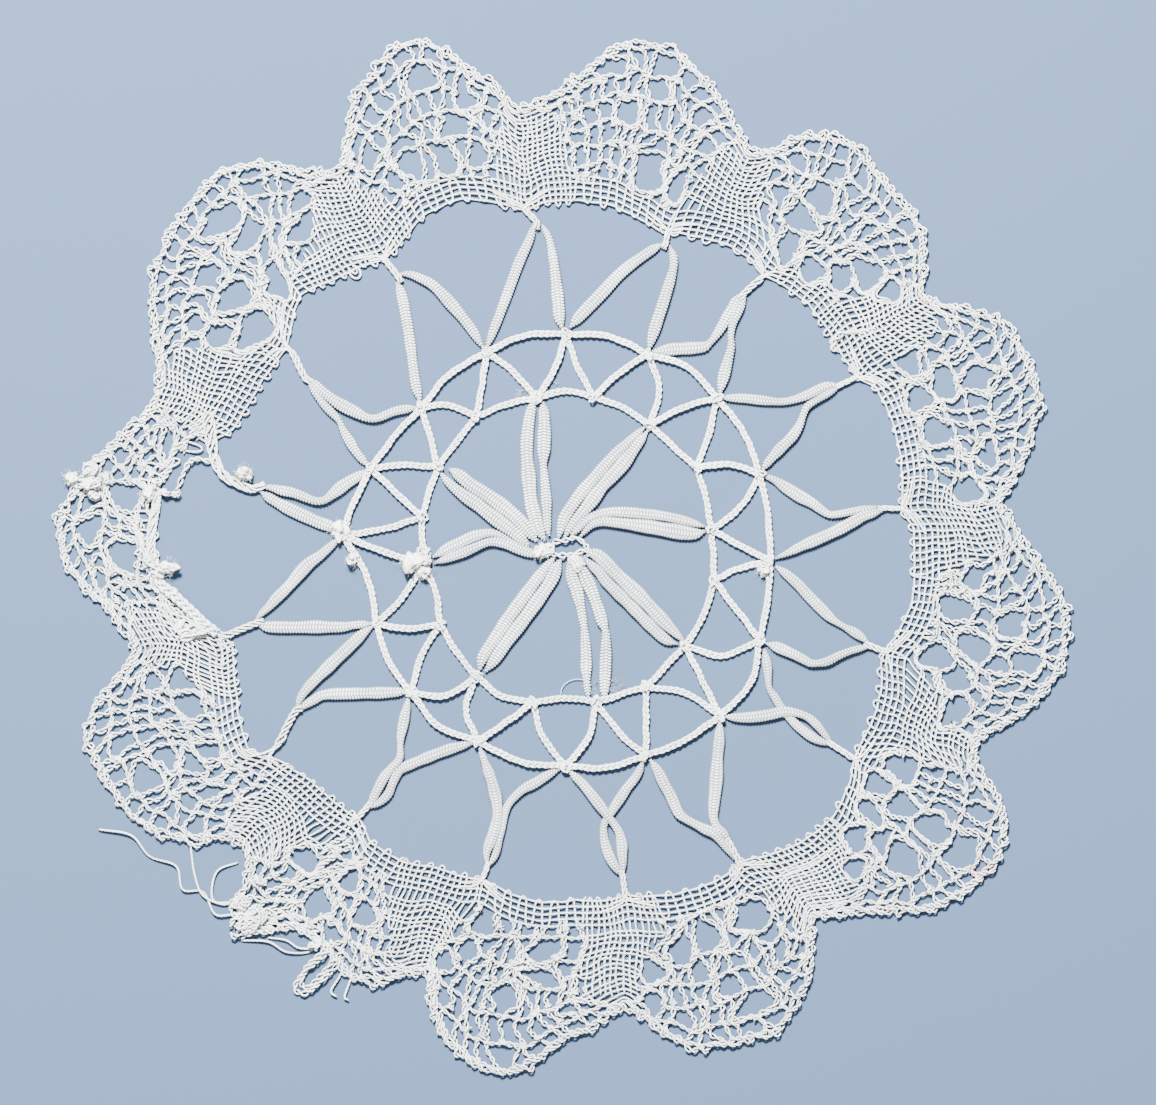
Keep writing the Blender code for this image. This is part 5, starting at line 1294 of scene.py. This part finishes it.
loose = {
    # tangles: (bearing, radius, width, height, crest)
    "tangles": [
        (279.5, 61.1, 1.7, 2.2, 1.6), (277.9, 60.4, 1.8, 2.4, 2.0), (276.5, 60.2, 1.5, 1.8, 1.7),
        (278.8, 59.0, 1.8, 1.1, 1.4), (278.9, 52.5, 2.0, 1.5, 1.8), (278.1, 51.3, 1.1, 1.8, 1.5),
        (278.0, 49.9, 1.0, 1.3, 1.3), (268.3, 52.7, 2.0, 2.0, 1.7), (266.5, 51.8, 1.5, 1.8, 1.6),
        (257.5, 48.3, 2.3, 4.3, 1.6), (258.7, 49.9, 1.7, 1.7, 1.5), (212.4, 59.3, 1.5, 1.7, 1.4),
        (220.1, 61.7, 2.8, 4.3, 1.7), (222.6, 61.0, 2.5, 2.3, 1.4), (222.6, 57.6, 2.0, 1.5, 1.4),
        (267.2, 17.9, 2.5, 2.0, 1.7), (264.3, 2.6, 2.0, 2.8, 1.3), (139.4, 2.3, 1.8, 2.5, 1.2),
        (95.5, 25.4, 1.5, 1.7, 1.4),
    ],
    "turnsPerSize": 2.4,
    # balls of fluff, in the same order of sizes
    "fluffs": [
        (278.1, 63.3, 2.2, 1.7, 1.6), (277.8, 61.0, 1.7, 1.8, 2.3), (277.6, 53.3, 2.4, 1.8, 1.9),
        (267.4, 50.2, 1.7, 2.5, 1.9), (283.3, 41.8, 2.0, 2.3, 2.1), (274.9, 28.8, 2.8, 2.3, 1.6),
        (267.2, 27.0, 1.3, 2.0, 1.7), (264.8, 19.5, 3.3, 2.4, 2.1), (260.7, 18.1, 1.8, 2.0, 1.7),
        (265.2, 3.1, 1.8, 2.0, 1.5), (135.0, 2.3, 1.4, 1.8, 1.4), (96.3, 25.3, 1.3, 1.5, 1.5),
    ],
    "fluffSteps": (19, 30),  # rings and points round each
    "fluffCore": 0.43,  # share of a ball's width from its middle to its surface; the hairs fill the rest
    "fluffLumps": [(2.1, 0.45), (4.2, 0.4), (8.5, 0.2)],  # (how close, share of the radius)
    "hairs": 70,  # to a ball
    "hairLength": 0.5,
    "hairSpread": (0.4, 1.2),
    "hairCurl": 0.45,
    "hairStart": 0.4,  # share of a ball's size from its middle
    "hairRadius": 0.02,
    # height of the threads and pairs below: where they lie, how much they rise, and the wave's radians to
    # a mm
    "threadWave": (0.22, 0.25, 0.35),
    "pairWave": (0.5, 0.2, 0.7),
    # single threads that have come out, as bearing, radius
    "threads": [
        [(220.3, 64.0), (221.7, 62.2), (223.7, 64.2), (226.5, 63.3), (228.3, 65.0), (230.8, 63.7),
         (233.5, 65.6), (236.6, 66.0), (239.0, 69.1)],
        [(223.2, 61.5), (224.0, 62.7), (226.3, 63.6), (228.7, 62.6), (231.7, 60.6)],
        [(223.2, 61.5), (224.8, 63.1), (226.2, 62.1), (227.2, 60.0), (226.2, 57.5)],
        [(219.6, 64.5), (217.1, 62.5), (214.7, 62.2), (212.6, 60.8), (212.1, 59.5)],
        [(217.4, 62.1), (215.5, 61.0), (213.8, 60.9), (212.2, 60.0)],
        [(207.9, 59.4), (207.8, 61.3), (207.9, 63.5), (207.0, 63.8)],
        [(206.7, 59.6), (206.4, 61.8), (206.2, 63.4), (205.6, 63.5)],
    ],
    # twisted pairs that have come out or were pulled
    "pairs": [
        [(53.7, 42.3), (52.3, 43.2), (52.1, 44.4), (52.9, 45.7), (54.1, 47.2), (54.8, 48.3)],
        [(221.4, 64.2), (221.8, 63.1), (221.1, 61.4), (219.4, 60.3), (218.4, 60.7), (219.5, 61.7),
         (220.3, 63.1), (220.3, 64.6), (221.1, 64.6)],
        [(219.9, 64.2), (218.9, 62.5), (217.4, 61.2), (218.3, 60.9), (217.5, 58.8), (215.9, 57.8),
         (214.5, 57.2)],
        [(223.4, 61.5), (222.2, 59.6), (220.2, 58.5), (218.8, 56.6), (217.3, 56.6), (216.9, 57.8),
         (215.2, 57.5)],
        [(222.3, 62.0), (221.3, 60.6), (219.4, 59.4), (217.9, 58.3), (216.3, 57.9)],
        [(210.2, 58.6), (211.4, 62.2), (211.8, 64.7), (211.3, 65.7), (210.2, 65.2), (209.4, 62.9),
         (208.4, 58.9)],
        [(210.9, 59.1), (211.7, 62.4), (211.4, 64.2), (210.7, 64.8), (210.0, 63.3), (209.3, 59.4)],
        [(283.8, 46.3), (283.8, 48.0), (282.9, 49.0), (280.6, 49.5), (278.4, 49.8)],
        [(287.9, 47.9), (286.7, 49.6), (284.1, 51.1), (281.6, 51.2), (279.5, 51.8)],
        [(287.0, 53.1), (284.1, 53.0), (281.8, 51.8), (279.7, 52.2)],
        [(301.6, 1.9), (317.0, 1.3), (0.0, 1.1), (29.7, 1.5), (43.7, 2.0), (63.4, 2.3), (81.9, 2.7),
         (96.8, 3.2), (108.4, 2.8)],
        [(258.0, 2.3), (231.0, 1.2), (180.0, 0.8), (125.0, 1.2), (99.0, 2.0), (92.0, 2.9)],
    ],
    "pairOff": 0.19,
    "ropeWave": (0.62, 0.4, 0.5),  # height, how much of the width it rises, how far its turning drifts
    # ropes of several threads: (threads, half width at both ends, turn length, knots)
    "ropes": [
        (6, 0.35, 0.75, 7.0, [(282.2, 38.9), (280.9, 40.4), (281.2, 42.2), (282.2, 44.3), (284.4, 45.9),
                              (287.6, 47.2), (291.0, 48.6)]),
        (6, 0.42, 0.55, 5.0, [(278.9, 52.6), (276.6, 52.2), (272.9, 52.5), (270.8, 52.6), (268.3, 52.5)]),
    ],
    "plaitRest": 0.75,
    # the thick plait along the torn side
    "plaitRoute": [(269.5, 52.6), (267.1, 52.0), (265.2, 51.6), (263.0, 49.8), (260.4, 48.0), (258.2, 46.7),
                   (256.3, 45.4)],
    "plait": {"half": 0.5, "rise": 0.28, "pitch": 3.9, "radius": 0.27},
    "fine": [[(181.7, 18.7), (181.4, 17.8), (179.4, 17.0), (175.6, 16.6), (171.1, 16.9), (168.9, 17.7)]],
    "fineRadius": 0.07,
    "fineRest": 0.3,
    "loopRest": 0.4,
    "loops": [(53.2, 42.8, 0.9, 1.1), (322.8, 44.1, 1.3, 1.7)],  # (bearing, radius, width, height)
    # where only hairs stand out of the lace, as for the fluff
    "tufts": [(354.8, 20.7, 2.0, 1.2, 0.7), (168.0, 18.0, 2.2, 1.4, 0.6), (160.5, 18.4, 2.0, 1.2, 0.6),
              (345.5, 20.4, 1.2, 1.0, 0.6)],
}


# Balls of fluff: ovals on the floor, whose radius is 1 + the sum over the lumps of share sin sin sin of the
# direction turned at random.
def fluffPiece(name, balls, material):
    rings, around = loose["fluffSteps"]
    j = np.arange(around)
    polar, turn = np.meshgrid(
        np.linspace(0.12, math.pi - 0.12, rings), 2 * math.pi * j / around, indexing="ij")
    outward = np.stack([np.sin(polar) * np.cos(turn), np.sin(polar) * np.sin(turn), np.cos(polar)], axis=2)
    quads = facesBetween(np.arange(rings - 1) * around, around)
    caps = np.concatenate([j, (rings - 1) * around + j[::-1]])
    points, corners, ends = [], [], []
    for number, (bearing, radius, width, height, crest) in enumerate(balls):
        lumps = np.ones((rings, around))
        for pitch, share in loose["fluffLumps"]:
            tilted = outward @ np.linalg.qr(draws.normal(size=(3, 3)))[0]
            lumps += share * np.sin(tilted * pitch + draws.uniform(0, 2 * math.pi, 3)).prod(axis=2)
        own = outward * lumps[..., None] * np.array([width, height, crest]) * loose["fluffCore"]
        flat = turned(own[..., 0], own[..., 1], bearing) + place(bearing, radius)
        lifted = np.maximum(own[..., 2] + crest / 2, 0.04)
        points.append(np.concatenate([flat, lifted[..., None]], axis=2).reshape(-1, 3))
        corners.append(quads + number * rings * around)
        ends.append(caps + number * rings * around)
    cornerList = np.concatenate([np.vstack(corners).reshape(-1), *ends])
    sizes = np.concatenate([np.full(len(quads) * len(balls), 4), np.full(2 * len(balls), around)])
    flatMap = np.vstack(points)[cornerList][:, :2]
    bakeMap = (flatMap - flatMap.min(axis=0)) / np.ptp(flatMap, axis=0)
    maps = {"OFBake": bakeMap, "threadMap": flatMap}
    return meshPiece(name, np.vstack(points), cornerList, sizes, maps, material)


# fine hairs that stand out of the fluff: each leaves the ball's surface outwards and curls
def hairs(balls):
    strands = []
    for bearing, radius, width, height, crest in balls:
        middle = np.array([*place(bearing, radius), crest / 2])
        for _ in range(loose["hairs"]):
            outward = draws.normal(0, 1, 3) * (1, 1, 0.6)
            outward /= np.linalg.norm(outward)
            curl = draws.normal(0, loose["hairCurl"], 3)
            t = np.linspace(0, 1, 4)[:, None]
            start = middle + outward * np.array([width, height, crest]) * loose["hairStart"]
            long = loose["hairLength"] * draws.uniform(*loose["hairSpread"])
            line = start + long * (outward * t + curl * t**2)
            line[:, 2] = np.maximum(line[:, 2], 0.05)
            strands.append((line, loose["hairRadius"]))
    return strands


knotStrands = []
for bearing, radius, width, height, crest in loose["tangles"]:
    turns = loose["turnsPerSize"] * (width + height) / 2
    middle = place(bearing, radius)
    for _ in range(2):
        knotStrands.append(tangle(middle, width, height, crest, turns, bearing, thread["radius"]))

looseStrands = []
for knots in loose["threads"]:
    line = routeLine(knots)
    rest, rise, wave = loose["threadWave"]
    height = rest + rise * np.abs(np.sin(lengthRun(line) * wave))
    looseStrands.append((np.column_stack([line, height]), thread["radius"]))
for knots in loose["pairs"]:
    line = routeLine(knots)
    rest, rise, wave = loose["pairWave"]
    height = rest + rise * np.sin(lengthRun(line) * wave)
    looseStrands += twisted(line, height, net["pitch"], loose["pairOff"], thread["radius"])
for knots in loose["fine"]:
    line = routeLine(knots)
    looseStrands.append((np.column_stack([line, np.full(len(line), loose["fineRest"])]), loose["fineRadius"]))
for count, startHalf, endHalf, pitch, knots in loose["ropes"]:
    line = routeLine(knots)
    run = lengthRun(line)
    half = startHalf + (endHalf - startHalf) * run / run[-1]
    rest, rise, drift = loose["ropeWave"]
    for number in range(count):
        angle = 2 * math.pi * (run / pitch + number / count) + stray(run, drift)
        flat = line + leftOf(line) * (half * np.cos(angle))[:, None]
        looseStrands.append((np.column_stack([flat, rest + rise * half * np.sin(angle)]), thread["radius"]))
looseStrands += braided(routeLine(loose["plaitRoute"]), loose["plaitRest"], loose["plait"])
for bearing, radius, width, height in loose["loops"]:
    t = np.linspace(-0.9 * math.pi, 0.9 * math.pi, 18)
    flat = turned(width / 2 * np.sin(t), -height / 2 * np.cos(t), bearing) + place(bearing, radius)
    looseStrands.append((np.column_stack([flat, np.full(len(t), loose["loopRest"])]), thread["radius"]))

bandPiece = threadPiece("band_cloth", bandCloth, threadCotton, thread["bandSides"])
netPieces = [
    threadPiece("net_right", netHalves[0], threadCotton), threadPiece("net_left", netHalves[1], threadCotton),
    threadPiece("net_crossings", netLumps, threadCotton, thread["bandSides"])]
rimPiece = threadPiece("scalloped_rim", rimStrands, threadCotton)
plaitPiece = threadPiece("ring_plaits", plaitStrands, threadCotton)
stalkPiece = threadPiece("stalks", stalkStrands, threadCotton)
knotPiece = threadPiece("knots", knotStrands, threadCotton)
loosePiece = threadPiece("loose_threads", looseStrands, threadCotton)
fluffBalls = fluffPiece("fluff", loose["fluffs"], fluffCotton)
fluffHairs = threadPiece("fluff_hairs", hairs(loose["fluffs"] + loose["tufts"]), threadCotton, 3)

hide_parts("lace_doily")


studio = {
    "floorSize": 1.2,
    "floorColour": (0.045, 0.080, 0.142),
    "floorRoughness": 0.9,
    "worldColour": (0.86, 0.90, 1.0),
    "worldStrength": 0.44,
    # soft lights: (name, place in m, size in m, power in W)
    "lights": [
        ("top_light", (-0.10, 0.38, 0.56), 0.12, 44.5),
        ("fill_light", (-0.30, -0.25, 0.55), 0.40, 1.6),
    ],
    "sensor": 36,
    "viewWidth": 0.1468,  # of the surface, in m
    "viewMiddle": (0.0020, 0.00047),
    "cameraHeight": 1.4,
}

floorMesh = bpy.data.meshes.new("floor")
half = studio["floorSize"] / 2
floorCorners = [(-half, -half, 0), (half, -half, 0), (half, half, 0), (-half, half, 0)]
floorMesh.from_pydata(floorCorners, [], [(0, 1, 2, 3)])
floor = bpy.data.objects.new("floor", floorMesh)
bpy.context.scene.collection.objects.link(floor)
floorPaint = bpy.data.materials.new("pale_floor")
floorPaint.use_nodes = True
floorShader = floorPaint.node_tree.nodes["Principled BSDF"]
floorShader.inputs["Base Color"].default_value = (*studio["floorColour"], 1.0)
floorShader.inputs["Roughness"].default_value = studio["floorRoughness"]
floorMesh.materials.append(floorPaint)

world = bpy.data.worlds.new("studio")
world.use_nodes = True
sky = world.node_tree.nodes["Background"]
sky.inputs["Color"].default_value = (*studio["worldColour"], 1.0)
sky.inputs["Strength"].default_value = studio["worldStrength"]
bpy.context.scene.world = world

for name, spot, size, power in studio["lights"]:
    lamp = bpy.data.lights.new(name, "AREA")
    lamp.size = size
    lamp.energy = power
    holder = bpy.data.objects.new(name, lamp)
    holder.location = spot
    toX, toY, toZ = -np.array(spot)
    holder.rotation_euler = (math.atan2(math.hypot(toX, toY), -toZ), 0, math.atan2(toY, toX) - math.pi / 2)
    bpy.context.scene.collection.objects.link(holder)

camera = bpy.data.objects.new("camera", bpy.data.cameras.new("camera"))
camera.data.sensor_width = studio["sensor"]
camera.data.sensor_fit = "HORIZONTAL"
camera.data.lens = studio["sensor"] * studio["cameraHeight"] / studio["viewWidth"]
camera.location = (*studio["viewMiddle"], studio["cameraHeight"])
camera.data.clip_end = 10
bpy.context.scene.collection.objects.link(camera)
bpy.context.scene.camera = camera
